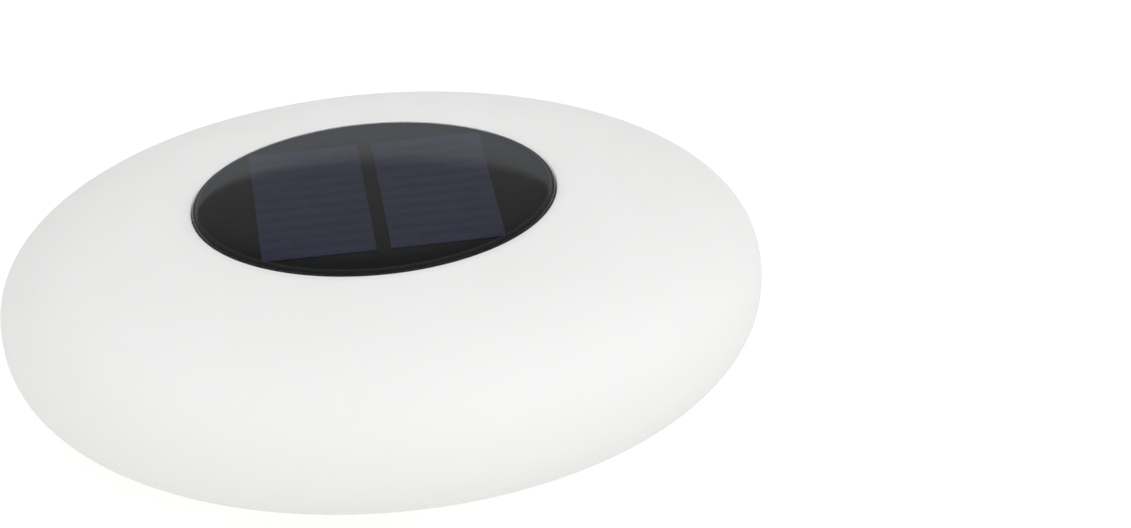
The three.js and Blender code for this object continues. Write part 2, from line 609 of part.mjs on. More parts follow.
function doorGasket() {
  const outer = plate(BAY_LENGTH + 5, BAY_WIDTH + 5, 3, 0, DOOR_GASKET_THICKNESS);
  return cut(outer, plate(BAY_LENGTH + 1, BAY_WIDTH + 1, 1.5, -1, DOOR_GASKET_THICKNESS + 1));
}

function batteryDoor() {
  const door = plate(DOOR_LENGTH, DOOR_WIDTH, DOOR_CORNER, 0, DOOR_THICKNESS);
  return cut(door, ...pilots(DOOR_SCREW_PLACES, DOOR_SCREW, -1, DOOR_THICKNESS + 1));
}

add(solarCap, "door_gasket", doorGasket(), greySilicone, 0, 0, DOOR_GASKET_BOTTOM);
add(solarCap, "battery_door", batteryDoor(), blackPlastic, 0, 0, DOOR_BOTTOM);
addScrews(solarCap, "door_screw", DOOR_SCREW, DOOR_SCREW_PLACES, DOOR_BOTTOM - GAP, true);

// ---------- solar cap: control board, with heights from the board's top face ----------

const CONTROL_LENGTH = 64;
const CONTROL_WIDTH = 44;
const CONTROL_CORNER = 2;
const CHIP = { length: 10, width: 6, top: 1.65, x: 8, y: -6 };
const COIL = { radius: 5, top: 4.5, x: -16, y: 4 };
const CAPACITOR = { radius: 3.1, top: 5.4, x: -16, y: -12 };

function controlBoard() {
  const board = plate(CONTROL_LENGTH, CONTROL_WIDTH, CONTROL_CORNER, -BOARD_THICKNESS, 0);
  return cut(board, ...holes(BOARD_SCREW_PLACES, BOARD_SCREW, -BOARD_THICKNESS - 1, 1));
}

const chipShape = block(CHIP.length, CHIP.width, BOND, CHIP.top);
const coilShape = disc(COIL.radius, BOND, COIL.top, 16);
const capacitorShape = disc(CAPACITOR.radius, BOND, CAPACITOR.top, 12);
const control = groupIn(solarCap, 0, 0, CONTROL_TOP);
add(control, "control_board", controlBoard(), greenLaminate);
add(control, "control_chip", chipShape, blackPlastic, CHIP.x, CHIP.y);
add(control, "power_coil", coilShape, copper, COIL.x, COIL.y);
add(control, "storage_capacitor", capacitorShape, steel, CAPACITOR.x, CAPACITOR.y);
addScrews(control, "board_screw", BOARD_SCREW, BOARD_SCREW_PLACES, -BOARD_THICKNESS - GAP, true);

// ---------- solar cap: light ring, with heights from the face that it hangs from ----------

const LED_COUNT = 8;
const LED_CIRCLE = 53.6;
const LED_WIDTH = 5;
const LED_HEIGHT = 1.6;
const LED_TOP = -BOARD_THICKNESS - BOND;
const COVER_DEPTH = 9;
const COVER_WALL = 1.5;
const COVER_INNER = 45.6;
const COVER_OUTER = 61.6;
const RECEIVER_LENGTH = 5.4;
const RECEIVER_WIDTH = 6;
const RECEIVER_HEIGHT = 4;
const RECEIVER_EYE_RADIUS = 2.3;

function lightCover() {
  const floor = COVER_WALL - COVER_DEPTH;
  const chamfer = 1;
  return revolve([
    [COVER_INNER, chamfer - COVER_DEPTH],
    [COVER_INNER + chamfer, -COVER_DEPTH],
    [COVER_OUTER - chamfer, -COVER_DEPTH],
    [COVER_OUTER, chamfer - COVER_DEPTH],
    [COVER_OUTER, 0],
    [COVER_OUTER - COVER_WALL, 0],
    [COVER_OUTER - COVER_WALL, floor],
    [COVER_INNER + COVER_WALL, floor],
    [COVER_INNER + COVER_WALL, 0],
    [COVER_INNER, 0],
  ]);
}

function ledBoard() {
  const inset = COVER_WALL + 0.3;
  const ring = ringBetween(COVER_INNER + inset, COVER_OUTER - inset, -BOARD_THICKNESS, 0);
  return cut(ring, post(0, CABLE_Y, CABLE_HOLE_RADIUS, -BOARD_THICKNESS - 1, 1));
}

// The remote control's receiver, a block with a round eye below it.
function irReceiver() {
  const bottom = LED_TOP - RECEIVER_HEIGHT;
  const body = block(RECEIVER_LENGTH, RECEIVER_WIDTH, bottom, LED_TOP);
  return join(body, disc(RECEIVER_EYE_RADIUS, bottom - 1, bottom + 0.5, 16));
}

// The cable from the control board to the light ring, through the base near its edge.
function ledCable() {
  const points = [
    [0, 19, CONTROL_BOTTOM - 0.3],
    [0, 19, CONTROL_BOTTOM - 2],
    [0, 24, CONTROL_BOTTOM - 5],
    [0, 44, BASE_TOP + 16],
    [0, 52, BASE_TOP + 8],
    [0, CABLE_Y, BASE_TOP + 2],
    [0, CABLE_Y, BASE_BOTTOM - GAP + 0.3],
  ];
  return rod(points, CABLE_RADIUS, 10, 6);
}

const ledShape = block(LED_WIDTH, LED_WIDTH, LED_TOP - LED_HEIGHT, LED_TOP);
const lightRing = groupIn(solarCap, 0, 0, BASE_BOTTOM - GAP);
add(lightRing, "led_board", ledBoard(), whiteLaminate);
for (let i = 0; i < LED_COUNT; i++) {
  const spoke = groupIn(lightRing);
  spoke.rotation.z = (2 * Math.PI * (i + 0.5)) / LED_COUNT;
  add(spoke, `led_${i + 1}`, ledShape, ledPackage, LED_CIRCLE);
}
add(lightRing, "ir_receiver", irReceiver(), blackPlastic, LED_CIRCLE);
add(lightRing, "light_cover", lightCover(), frostedPlastic);
add(solarCap, "led_cable", ledCable(), blackWire);

// ---------- solar cap: power button, with heights from the module base's underside ----------

const SWITCH_HEIGHT = 4;
const SWITCH_WIDTH = 10;
const SWITCH_BOARD_LENGTH = 24;
const SWITCH_BOARD_WIDTH = 14;
const SWITCH_BOARD_THICKNESS = 1.2;
const BOOT_OUTER = 8.4;
const BOOT_THICKNESS = 1.3;

function powerButton() {
  const [bottom, collar] = [-4.4, 0.3];
  const [chamfer, collarHeight, stemRadius] = [0.6, 1.2, 2];
  const top = SWITCH_BOARD_RISE - SWITCH_HEIGHT - BUTTON_TRAVEL - GAP;
  return revolve(
    [
      [0, bottom],
      [BUTTON_RADIUS - chamfer, bottom],
      [BUTTON_RADIUS, bottom + chamfer],
      [BUTTON_RADIUS, collar],
      [BUTTON_RADIUS + BUTTON_COLLAR, collar],
      [BUTTON_RADIUS + BUTTON_COLLAR, collar + collarHeight],
      [stemRadius, collar + collarHeight],
      [stemRadius, top],
      [0, top],
    ],
    16,
  );
}

function switchBody() {
  return block(SWITCH_WIDTH, SWITCH_WIDTH, SWITCH_BOARD_RISE - SWITCH_HEIGHT, SWITCH_BOARD_RISE - BOND);
}

function switchBoard() {
  const top = SWITCH_BOARD_RISE + SWITCH_BOARD_THICKNESS;
  return plate(SWITCH_BOARD_LENGTH, SWITCH_BOARD_WIDTH, 1.5, SWITCH_BOARD_RISE, top);
}

const buttonBoot = ringBetween(BUTTON_RADIUS + 0.3, BOOT_OUTER, -GAP - BOOT_THICKNESS, -GAP, 16);
const button = groupIn(solarCap, 0, BUTTON_Y, BASE_BOTTOM);
add(button, "button_boot", buttonBoot, blackRubber);
add(button, "switch_body", switchBody(), blackPlastic);
add(button, "switch_board", switchBoard(), greenLaminate);
add(button, "power_button", powerButton(), blackRubber);

export default light;
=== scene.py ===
import json
import math

import bpy
from mathutils import Matrix, Vector


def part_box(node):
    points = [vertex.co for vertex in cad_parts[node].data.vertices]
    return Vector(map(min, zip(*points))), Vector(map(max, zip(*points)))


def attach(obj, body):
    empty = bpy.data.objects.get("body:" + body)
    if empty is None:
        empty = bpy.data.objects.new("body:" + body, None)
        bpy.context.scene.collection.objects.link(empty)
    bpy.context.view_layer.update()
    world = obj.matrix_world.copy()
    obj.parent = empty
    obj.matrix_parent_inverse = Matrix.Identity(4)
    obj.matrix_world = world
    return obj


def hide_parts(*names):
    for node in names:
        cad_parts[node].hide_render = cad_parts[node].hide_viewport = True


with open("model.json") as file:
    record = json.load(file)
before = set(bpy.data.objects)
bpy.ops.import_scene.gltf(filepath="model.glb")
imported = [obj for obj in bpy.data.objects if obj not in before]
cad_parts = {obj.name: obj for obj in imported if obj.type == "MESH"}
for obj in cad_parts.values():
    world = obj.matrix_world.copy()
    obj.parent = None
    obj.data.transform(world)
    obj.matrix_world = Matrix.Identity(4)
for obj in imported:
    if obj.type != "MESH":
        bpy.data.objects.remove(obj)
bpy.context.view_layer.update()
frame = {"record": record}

# Which body and which material slot each CAD node belongs to.
record = frame["record"]
BODY_OF = {node: body for body, nodes in record["behaviour"]["bodies"].items() for node in nodes}
SLOT_OF = {row["node"]: row["material_slot"] for row in record["subparts"]}

# ---------- driving dimensions, in millimetres ----------
MM = 0.001
SHELL_RADIUS = 167.5
SHELL_WALL = 3.0
EQUATOR_Z = 49.0  # height of the widest circle
UPPER_DEPTH = 44.0
LOWER_DEPTH = 49.5
RADIAL_POWER = 4.0  # (r / R) ^ 4 + (z / depth) ^ 2.3 = 1 is the shell's meridian
AXIAL_POWER = 2.3
LENS_RADIUS = 79.5
LENS_WALL = 1.5
LENS_RISE = 7.5
DOME_POWER = 0.4  # z / rise = (1 - (r / R) ^ 2) ^ 0.4 is the dome's section
WELL_RADIUS = 79.8  # the shell's well, close enough to the lens to leave a hairline
LEDGE_RADIUS = 70.5  # the shell's opening
FOOT_INNER = 31.0
FOOT_OUTER = 65.0
GAP = 0.1  # between faces that rest on each other
FIT = 0.6  # clearance of the thread, and of the lens in the CAD's well
THREAD_LEAD = 24.0
THREAD_STARTS = 3
THREAD_SPAN = 240.0  # degrees that each rib of the neck runs
LUG_SPAN = 60.0  # degrees that each lug of the cap runs
RIB_THICKNESS = 2.2
RIB_ROOT = 0.8  # how deep a rib is sunk into the wall that carries it
LUG_DROP = 2.8  # how far the lugs hang under the ribs with the cap screwed home
STRIP_COUNT = 11  # strips of silicon in each column of the panel
STRIP_GAP = 0.32
BIG_ROUND = 240  # sides of the rounds that are seen most
ROUND = 160
SMALL_ROUND = 48


def low(node):
    """Height of a CAD node's underside."""
    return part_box(node)[0].z / MM


def high(node):
    """Height of a CAD node's top."""
    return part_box(node)[1].z / MM


def heights(node):
    """Heights of a CAD node's underside and top."""
    return low(node), high(node)


def centre(node):
    """Middle of a CAD node's box, across X and Y."""
    lowest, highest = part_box(node)
    return (lowest.x + highest.x) / 2 / MM, (lowest.y + highest.y) / 2 / MM


def centres(kind, count):
    """Middles of a row of numbered CAD nodes."""
    return [centre(f"{kind}_{number}") for number in range(1, count + 1)]


def meridian_height(radius):
    """Height of the shell's upper side at a radius."""
    return EQUATOR_Z + UPPER_DEPTH * (1 - (radius / SHELL_RADIUS) ** RADIAL_POWER) ** (1 / AXIAL_POWER)


# ---------- heights and places that follow from the CAD ----------
RIM_Z = meridian_height(LENS_RADIUS + FIT)  # where the lens meets the shell
LENS_FOOT = low("lens_dome")
DECK_TOP = low("panel_board") - GAP
DECK_BOTTOM = DECK_TOP - 3
FLANGE_TOP = LENS_FOOT - GAP
FLANGE_BOTTOM = high("cap_seal") + GAP
SKIRT_BOTTOM = low("cap_housing")
SKIRT_OUTER = 65.2
SKIRT_INNER = 62.7
BASE_BOTTOM = low("module_base")
BASE_TOP = BASE_BOTTOM + 3
NECK_TOP = high("neck_ring")
NECK_BOTTOM = low("neck_ring")
NECK_OUTER = LEDGE_RADIUS - 0.5
NECK_INNER = 67.6
RIB_START = NECK_BOTTOM + RIB_THICKNESS / 2 + GAP
LEDGE_TOP = low("neck_gasket") - GAP
TETHER_CEILING = high("tether_bracket") + GAP
HINGE_Z = 5.0  # height of the tether ring's axis
NECK_SCREWS = centres("neck_screw", 6)
TETHER_SCREWS = centres("tether_screw", 2)
MODULE_SCREWS = centres("module_screw", 4)
BOARD_SCREWS = centres("board_screw", 2)
DOOR_SCREWS = centres("door_screw", 2)
BAY_LENGTH = 70.0
BAY_WIDTH = 20.0
BAY_CEILING = high("module_base") - 1.5
BATTERY_Z = sum(heights("battery_cell")) / 2
LEAD_X, LEAD_Y = 34.1, 6.0  # where the battery's leads leave the bay
PANEL_LEAD_Y = 30.0  # where the panel's leads go through the deck
BUTTON_Y = centre("power_button")[1]
CABLE_Y = 53.0  # where the light ring's cable comes through the base
CONTROL_BOTTOM = low("control_board")
CONTROL_TOP = high("control_board")
COLUMN_LENGTH = (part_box("solar_cell_left")[1].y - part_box("solar_cell_left")[0].y) / MM
STRIP_PITCH = (COLUMN_LENGTH + STRIP_GAP) / STRIP_COUNT

# ---------- shapes: a shape is a list of points and a list of faces ----------


def lathe(profile, sides=ROUND):
    """Solid of revolution from (radius, height) pairs, with the outside going up.

    A profile that doesn't start on the axis is closed on itself."""
    points, faces, rings = [], [], []
    for radius, height in profile:
        first = len(points)
        if radius < 1e-6:
            rings.append([first] * sides)
            points.append(Vector((0, 0, height)))
            continue
        rings.append(list(range(first, first + sides)))
        for i in range(sides):
            angle = 2 * math.pi * i / sides
            points.append(Vector((radius * math.cos(angle), radius * math.sin(angle), height)))
    pairs = list(zip(rings, rings[1:]))
    if profile[0][0] > 1e-6:
        pairs.append((rings[-1], rings[0]))
    for a, b in pairs:
        for i in range(sides):
            j = (i + 1) % sides
            corners = list(dict.fromkeys((a[i], a[j], b[j], b[i])))
            if len(corners) > 2:
                faces.append(corners)
    return points, faces


def rounded(corners, steps=4, closed=True):
    """A profile whose corners (radius, height, fillet) are rounded."""
    out = []
    count = len(corners)
    for i, corner in enumerate(corners):
        here = Vector(corner[:2])
        fillet = corner[2] if len(corner) > 2 else 0
        at_end = not closed and i in (0, count - 1)
        if not fillet or at_end:
            out.append(tuple(here))
            continue
        before = Vector(corners[i - 1][:2]) - here
        after = Vector(corners[(i + 1) % count][:2]) - here
        half = before.angle(after) / 2
        reach = min(fillet / math.tan(half), 0.49 * before.length, 0.49 * after.length)
        start, end = here + before.normalized() * reach, here + after.normalized() * reach
        for k in range(steps + 1):
            s = k / steps
            out.append(tuple((1 - s) ** 2 * start + 2 * s * (1 - s) * here + s * s * end))
    return out


def tube_ring(inner, outer, bottom, top, fillet=0.3, sides=ROUND):
    """A ring of rectangular section with softened edges."""
    corners = [(inner, bottom, fillet), (outer, bottom, fillet), (outer, top, fillet), (inner, top, fillet)]
    return lathe(rounded(corners, 3), sides)


def disc(radius, bottom, top, fillet=0.0, sides=SMALL_ROUND):
    """An upright cylinder with softened edges."""
    corners = [(0, bottom), (radius, bottom, fillet), (radius, top, fillet), (0, top)]
    return lathe(rounded(corners, 3, closed=False), sides)


def outline(width, depth, corner, steps=6):
    """Corner-rounded rectangle, anticlockwise."""
    corner = max(corner, 0.01)
    points = []
    for quarter, (sx, sy) in enumerate(((1, 1), (-1, 1), (-1, -1), (1, -1))):
        for k in range(steps + 1):
            angle = math.pi / 2 * (quarter + k / steps)
            x = sx * (width / 2 - corner) + corner * math.cos(angle)
            y = sy * (depth / 2 - corner) + corner * math.sin(angle)
            points.append((x, y))
    return points


def plate(width, depth, corner, bottom, top, bevel=0.2):
    """A flat plate with rounded corners and bevelled edges."""
    inset = outline(width - 2 * bevel, depth - 2 * bevel, corner - bevel)
    full = outline(width, depth, corner)
    layers = [(inset, bottom), (full, bottom + bevel), (full, top - bevel), (inset, top)]
    count = len(full)
    points = [Vector((x, y, z)) for loop, z in layers for x, y in loop]
    faces = [list(range(count))[::-1], list(range(3 * count, 4 * count))]
    for layer in range(3):
        for i in range(count):
            j = (i + 1) % count
            a, b = layer * count, (layer + 1) * count
            faces.append([a + i, a + j, b + j, b + i])
    return points, faces


def helix_rib(inner, outer, start, span, middle, steps):
    """A rib of the thread: a softened rectangle swept along the thread's lead. Angles are in degrees."""
    half = RIB_THICKNESS / 2
    section = rounded([(inner, -half, 0.3), (outer, -half, 0.3), (outer, half, 0.3), (inner, half, 0.3)], 2)
    count = len(section)
    points, faces = [], []
    for k in range(steps + 1):
        turned = span * k / steps
        angle = math.radians(start + turned)
        rise = middle + THREAD_LEAD * turned / 360
        points += [Vector((r * math.cos(angle), r * math.sin(angle), z + rise)) for r, z in section]
    for k in range(steps):
        for i in range(count):
            j = (i + 1) % count
            a, b = k * count, (k + 1) * count
            faces.append([a + i, b + i, b + j, a + j])
    faces.append(list(range(count)))
    faces.append(list(range(steps * count, (steps + 1) * count))[::-1])
    return points, faces


def threads(inner, outer, span, middle, steps):
    """One rib for each start of the thread."""
    starts = [360 / THREAD_STARTS * k for k in range(THREAD_STARTS)]
    return [helix_rib(inner, outer, start, span, middle, steps) for start in starts]


def catmull(points, per_span=8, cyclic=False):
    """A smooth path through the points."""
    path = [Vector(p) for p in points]
    count = len(path)
    out = []
    for i in range(count if cyclic else count - 1):
        around = range(i - 1, i + 3)
        a, b, c, d = [path[k % count] if cyclic else path[min(max(k, 0), count - 1)] for k in around]
        for k in range(per_span):
            t = k / per_span
            square = (2 * a - 5 * b + 4 * c - d) * t**2
            cube = (3 * b - a - 3 * c + d) * t**3
            out.append(0.5 * (2 * b + (c - a) * t + square + cube))
    if not cyclic:
        out.append(path[-1])
    return out


def tube(path, radius, sides=14, cyclic=False):
    """A round bar along a path."""
    count = len(path)
    points, faces = [], []
    normal = None
    for i, here in enumerate(path):
        ahead = path[(i + 1) % count] if cyclic or i < count - 1 else here
        behind = path[i - 1] if cyclic or i > 0 else here
        along = (ahead - behind).normalized()
        if normal is None:
            normal = along.orthogonal().normalized()
        normal = (normal - along * normal.dot(along)).normalized()
        side = along.cross(normal)
        for k in range(sides):
            angle = 2 * math.pi * k / sides
            points.append(here + radius * (math.cos(angle) * normal + math.sin(angle) * side))
    for i in range(count if cyclic else count - 1):
        a, b = i * sides, ((i + 1) % count) * sides
        shift = 0
        if cyclic and i == count - 1:
            shift = min(range(sides), key=lambda s: (points[a] - points[b + s]).length)
        for k in range(sides):
            m = (k + 1) % sides
            faces.append([a + k, a + m, b + (m + shift) % sides, b + (k + shift) % sides])
    if not cyclic:
        faces.append(list(range(sides))[::-1])
        faces.append(list(range((count - 1) * sides, count * sides)))
    return points, faces


def placed(shape, x=0.0, y=0.0, z=0.0, turn=0.0, flip=False):
    """The shape turned over, turned about Z by degrees, and moved."""
    matrix = Matrix.Translation((x, y, z)) @ Matrix.Rotation(math.radians(turn), 4, "Z")
    if flip:
        matrix = matrix @ Matrix.Rotation(math.pi, 4, "X")
    points, faces = shape
    return [matrix @ p for p in points], faces


def tipped(shape):
    """The shape turned so that its up becomes X."""
    points, faces = shape
    return [Vector((p.z, p.y, -p.x)) for p in points], faces


def merged(*shapes):
    """Several shapes as one, without joining their solids."""
    points, faces = [], []
    for some_points, some_faces in shapes:
        shift = len(points)
        points = points + list(some_points)
        faces = faces + [[i + shift for i in face] for face in some_faces]
    return points, faces


def crossed(length, width, corner, bottom, top, bevel):
    """Two bars that cross on the axis."""
    return join(*[plate(*size, corner, bottom, top, bevel) for size in ((length, width), (width, length))])


def pegs(places, radius, bottom, top, fillet=0.0, sides=SMALL_ROUND):
    """An upright cylinder at each place."""
    return [placed(disc(radius, bottom, top, fillet, sides), x, y) for x, y in places]


def linked(name, data):
    """A new object in the scene, at the origin."""
    obj = bpy.data.objects.new(name, data)
    bpy.context.scene.collection.objects.link(obj)
    return obj


def mesh_of(name, shape):
    """A mesh in metres from a shape in millimetres."""
    mesh = bpy.data.meshes.new(name)
    mesh.from_pydata([p * MM for p in shape[0]], [], shape[1])
    mesh.update()
    return mesh


def boolean(shape, other, operation):
    """The solid of one shape joined with, or cut by, another, whose own pieces don't touch each other."""
    base = linked("base", mesh_of("base", shape))
    tool = linked("tool", mesh_of("tool", other))
    modifier = base.modifiers.new("boolean", "BOOLEAN")
    modifier.operation = operation
    modifier.solver = "MANIFOLD"
    modifier.object = tool
    graph = bpy.context.evaluated_depsgraph_get()
    result = bpy.data.meshes.new_from_object(base.evaluated_get(graph))
    points = [v.co / MM for v in result.vertices]
    faces = [list(p.vertices) for p in result.polygons]
    for obj in (base, tool):
        bpy.data.objects.remove(obj)
    bpy.data.meshes.remove(result)
    return points, faces


def cut(shape, *tools):
    """The shape with the tools taken out of it."""
    return boolean(shape, merged(*tools), "DIFFERENCE")


def join(shape, *extras):
    """The shape and the extras as one solid."""
    return boolean(shape, merged(*extras), "UNION")


# ---------- materials ----------


class Graph:
    """The node tree of a material or world, with short calls for adding and linking nodes."""

    def __init__(self, owner, output="OutputMaterial", coordinates="Object"):
        owner.use_nodes = True
        self.owner = owner
        self.tree = owner.node_tree
        self.tree.nodes.clear()
        self.output = self.add(output)
        self.place = self.add("TexCoord").outputs[coordinates]

    def add(self, kind, settings=None, **inputs):
        """A new node. An input's name has underscores for spaces."""
        node = self.tree.nodes.new("ShaderNode" + kind)
        for key, value in (settings or {}).items():
            setattr(node, key, value)
        for key, value in inputs.items():
            self.feed(node.inputs[key.replace("_", " ")], value)
        return node

    def feed(self, socket, value):
        """Set an input, or link it to a socket or to a node's first output."""
        if isinstance(value, bpy.types.Node):
            value = value.outputs[0]
        if isinstance(value, bpy.types.NodeSocket):
            self.tree.links.new(value, socket)
        elif socket.type == "RGBA":
            socket.default_value = (*value, 1.0)
        else:
            socket.default_value = value

    def filled(self, kind, settings, *values):
        """A new node whose first inputs take the values in order."""
        node = self.add(kind, settings)
        for socket, value in zip(node.inputs, values):
            self.feed(socket, value)
        return node

    def maths(self, operation, a, b=0.0, c=0.5):
        """A sum, product or other function of up to three values."""
        return self.filled("Math", {"operation": operation}, a, b, c)

    def length(self, a, b):
        """Length of the line with sides a and b."""
        squares = [self.maths("POWER", side, 2.0) for side in (a, b)]
        return self.maths("SQRT", self.maths("ADD", *squares))

    def position(self):
        """The X, Y and Z of the place that is shaded."""
        return self.add("SeparateXYZ", Vector=self.place).outputs

    def noise(self, scale, detail=3.0, place=None):
        """Cloudy noise with so many cells to the metre."""
        return self.add("TexNoise", Vector=place or self.place, Scale=scale, Detail=detail)

    def spread(self, value, low_in, high_in, low_out=0.0, high_out=1.0):
        """A value's run between two limits, spread over another run and held to it."""
        limits = {"From_Min": low_in, "From_Max": high_in, "To_Min": low_out, "To_Max": high_out}
        return self.add("MapRange", Value=value, **limits)

    def blend(self, amount, first, second):
        """A colour between two others."""
        node = self.add("Mix", {"data_type": "RGBA"}, Factor=amount)
        self.feed(node.inputs[6], first)
        self.feed(node.inputs[7], second)
        return node.outputs[2]

    def ramp(self, value, stops):
        """The colours of the stops, in order, blended along a value from 0 to 1."""
        node = self.add("ValToRGB", Fac=value)
        elements = node.color_ramp.elements
        while len(elements) < len(stops):
            elements.new(0.5)
        for element, (position, shade) in zip(elements, stops):
            element.position = position
            element.color = (*shade, 1.0)
        return node

    def bump(self, height, distance):
        return self.add("Bump", Height=height, Distance=distance)

    def mix_shaders(self, amount, first, second):
        return self.filled("MixShader", {}, amount, first, second)

    def finish(self, shader):
        """Show the shader on the owner, and give the owner back."""
        self.feed(self.output.inputs["Surface"], shader)
        return self.owner


def painter(name):
    """The graph of a new material."""
    return Graph(bpy.data.materials.new(name))


def moulded(name, base, tint, roughness, grain, depth):
    """A moulded surface: mottled colour, uneven gloss and a texture of the given grain in millimetres."""
    g = painter(name)
    broad = g.noise(35.0)
    fine = g.noise(1000.0 / grain, 2.0)
    scuffs = g.noise(140.0, 6.0)
    shade = g.blend(g.spread(broad, 0.3, 0.7), base, tint)
    # Edges are rubbed a little lighter, more in some places than in others.
    edge = g.spread(g.add("NewGeometry").outputs["Pointiness"], 0.53, 0.62)
    rubbed = g.maths("MULTIPLY", edge, g.spread(scuffs, 0.4, 0.65, 0.1, 0.6))
    shade = g.blend(rubbed, shade, [min(1.0, 2.2 * c + 0.01) for c in tint])
    gloss = g.spread(scuffs, 0.3, 0.7, roughness * 0.85, min(1.0, roughness * 1.15))
    surface = g.add("BsdfPrincipled", Base_Color=shade, Roughness=gloss, Normal=g.bump(fine, depth * MM))
    return g.finish(surface)


def milky_plastic():
    """Satin white polythene that lets light through a little: soft inside, faint orange peel outside, with
    painted shade round the window.
    """
    g = painter("milky_plastic")
    x, y, z = g.position()
    # Painted shade: the shell's colour darkens towards the window's well over the last 5.2 mm.
    clear_of_painted_shade = g.spread(g.length(x, y), WELL_RADIUS * MM, (WELL_RADIUS + 5.2) * MM)
    cloud = g.spread(g.noise(9.0, 2.0), 0.3, 0.7)
    shade = g.blend(cloud, (0.890, 0.891, 0.868), (0.908, 0.908, 0.892))
    shade = g.blend(clear_of_painted_shade, (0.85, 0.86, 0.85), shade)
    # The foot is scuffed where it stands on the deck.
    foot = g.spread(z, 0.0002, 0.003, 1.0, 0.0)
    scuffs = g.maths("MULTIPLY", foot, g.spread(g.noise(420.0, 8.0), 0.5, 0.75, 0.0, 0.4))
    shade = g.blend(scuffs, shade, (0.66, 0.66, 0.63))
    peel = g.bump(g.noise(420.0, 2.0), 0.00003)
    grain = g.add("Bump", Height=g.noise(2600.0, 2.0), Distance=0.000012, Normal=peel)
    surface = g.add(
        "BsdfPrincipled",
        Base_Color=shade,
        Roughness=g.spread(g.noise(60.0, 4.0), 0.3, 0.7, 0.46, 0.56),
        Normal=grain,
        Subsurface_Weight=0.3,
        Subsurface_Radius=(1.0, 0.95, 0.85),
        Subsurface_Scale=0.006,
    )
    return g.finish(surface)


def clear_plastic():
    """Clear polycarbonate: light passes straight through, and the gloss follows the viewing angle."""
    g = painter("clear_plastic")
    smear = g.noise(26.0, 4.0)
    gloss = g.spread(smear, 0.35, 0.7, 0.02, 0.05)
    ripple = g.bump(g.noise(18.0, 1.0), 0.00002)
    # Only the outside mirrors: the inside is bloomed, so it gives no second image.
    index = g.spread(g.add("NewGeometry").outputs["Backfacing"], 0.0, 1.0, 1.5, 1.0)
    fresnel = g.add("Fresnel", IOR=index, Normal=ripple)
    mirror = g.add("BsdfGlossy", Color=(1, 1, 1), Roughness=gloss, Normal=ripple)
    through = g.add("BsdfTransparent", Color=(0.93, 0.94, 0.94))
    # The edge is painted black up to the shell's rim, and a little higher on the inside.
    x, y, z = g.position()
    rim = RIM_Z * MM
    inside = g.maths("LESS_THAN", g.length(x, y), (LENS_RADIUS - LENS_WALL + 0.3) * MM)
    band = g.maths("MULTIPLY", inside, g.spread(z, rim + 0.0010, rim + 0.0016, 1.0, 0.0))
    painted = g.maths("MAXIMUM", band, g.spread(z, rim - 0.0001, rim + 0.0003, 1.0, 0.0))
    paint = g.add("BsdfPrincipled", Base_Color=(0.009, 0.009, 0.009), Roughness=0.5)
    body = g.mix_shaders(painted, through, paint)
    # The steep rim is duller than the dome.
    shine = g.maths("MULTIPLY", fresnel, g.spread(z, rim + 0.0002, rim + 0.0025, 0.4, 1.75))
    return g.finish(g.mix_shaders(shine, body, mirror))


def solar_cell():
    """Slate-blue silicon with a blue sheen: a silver bar along each strip, and fine fingers across."""
    g = painter("solar_cell")
    x, y, _ = g.position()
    half_bar, half_finger, finger_gap = 0.00035, 0.00005, 0.0008
    bar = g.maths("LESS_THAN", g.maths("PINGPONG", y, STRIP_PITCH / 2 * MM), half_bar)
    finger = g.maths("LESS_THAN", g.maths("PINGPONG", x, finger_gap), half_finger)
    silver = g.maths("MAXIMUM", g.maths("MULTIPLY", bar, 0.18), g.maths("MULTIPLY", finger, 0.3))
    crystal = g.add("TexVoronoi", Vector=g.place, Scale=130.0).outputs["Color"]
    flake = g.add("SeparateColor", Color=crystal)
    silicon = g.blend(flake, (0.0215, 0.021, 0.047), (0.0275, 0.0265, 0.058))
    surface = g.add(
        "BsdfPrincipled",
        Base_Color=g.blend(silver, silicon, (0.14, 0.14, 0.17)),
        Roughness=g.spread(g.noise(300.0), 0.3, 0.7, 0.12, 0.2),
        Normal=g.bump(silver, 0.00002),
        IOR=3.0,
        Specular_Tint=(0.76, 0.76, 1.0),
    )
    return g.finish(surface)


def laminate(name, mask, track, pad):
    """A circuit board: round pads, and tracks that run along X in some places and along Y in others."""
    g = painter(name)
    patch = g.noise(55.0, 0.0)
    pitch, half_track, pad_radius = 0.00127, 0.00022, 0.00045
    across = [g.maths("PINGPONG", distance, pitch) for distance in g.position()[:2]]
    along_y, along_x = [g.maths("LESS_THAN", step, half_track) for step in across]
    run_x = g.maths("MULTIPLY", along_x, g.maths("GREATER_THAN", patch, 0.54))
    run_y = g.maths("MULTIPLY", along_y, g.maths("LESS_THAN", patch, 0.46))
    line = g.maths("MAXIMUM", run_x, run_y)
    drilled = g.maths("GREATER_THAN", g.noise(160.0, 0.0), 0.56)
    dot = g.maths("MULTIPLY", g.maths("LESS_THAN", g.length(*across), pad_radius), drilled)
    shade = g.blend(line, mask, track)
    shade = g.blend(dot, shade, pad)
    surface = g.add(
        "BsdfPrincipled",
        Base_Color=shade,
        Metallic=g.maths("MULTIPLY", dot, 0.8),
        Roughness=g.spread(g.noise(240.0), 0.3, 0.7, 0.35, 0.5),
        Normal=g.bump(g.maths("MAXIMUM", line, dot), 0.00003),
    )
    return g.finish(surface)


def brushed_steel(name, base):
    """Drawn stainless steel: fine streaks along Y and uneven gloss."""
    g = painter(name)
    stretched = g.add("Mapping", Vector=g.place, Scale=(1.0, 0.06, 1.0))
    streak = g.noise(3000.0, 3.0, stretched)
    shade = g.blend(streak, [c * 0.82 for c in base], base)
    surface = g.add(
        "BsdfPrincipled",
        Base_Color=shade,
        Metallic=1.0,
        Roughness=g.spread(streak, 0.3, 0.7, 0.22, 0.38),
        Normal=g.bump(streak, 0.000008),
    )
    return g.finish(surface)


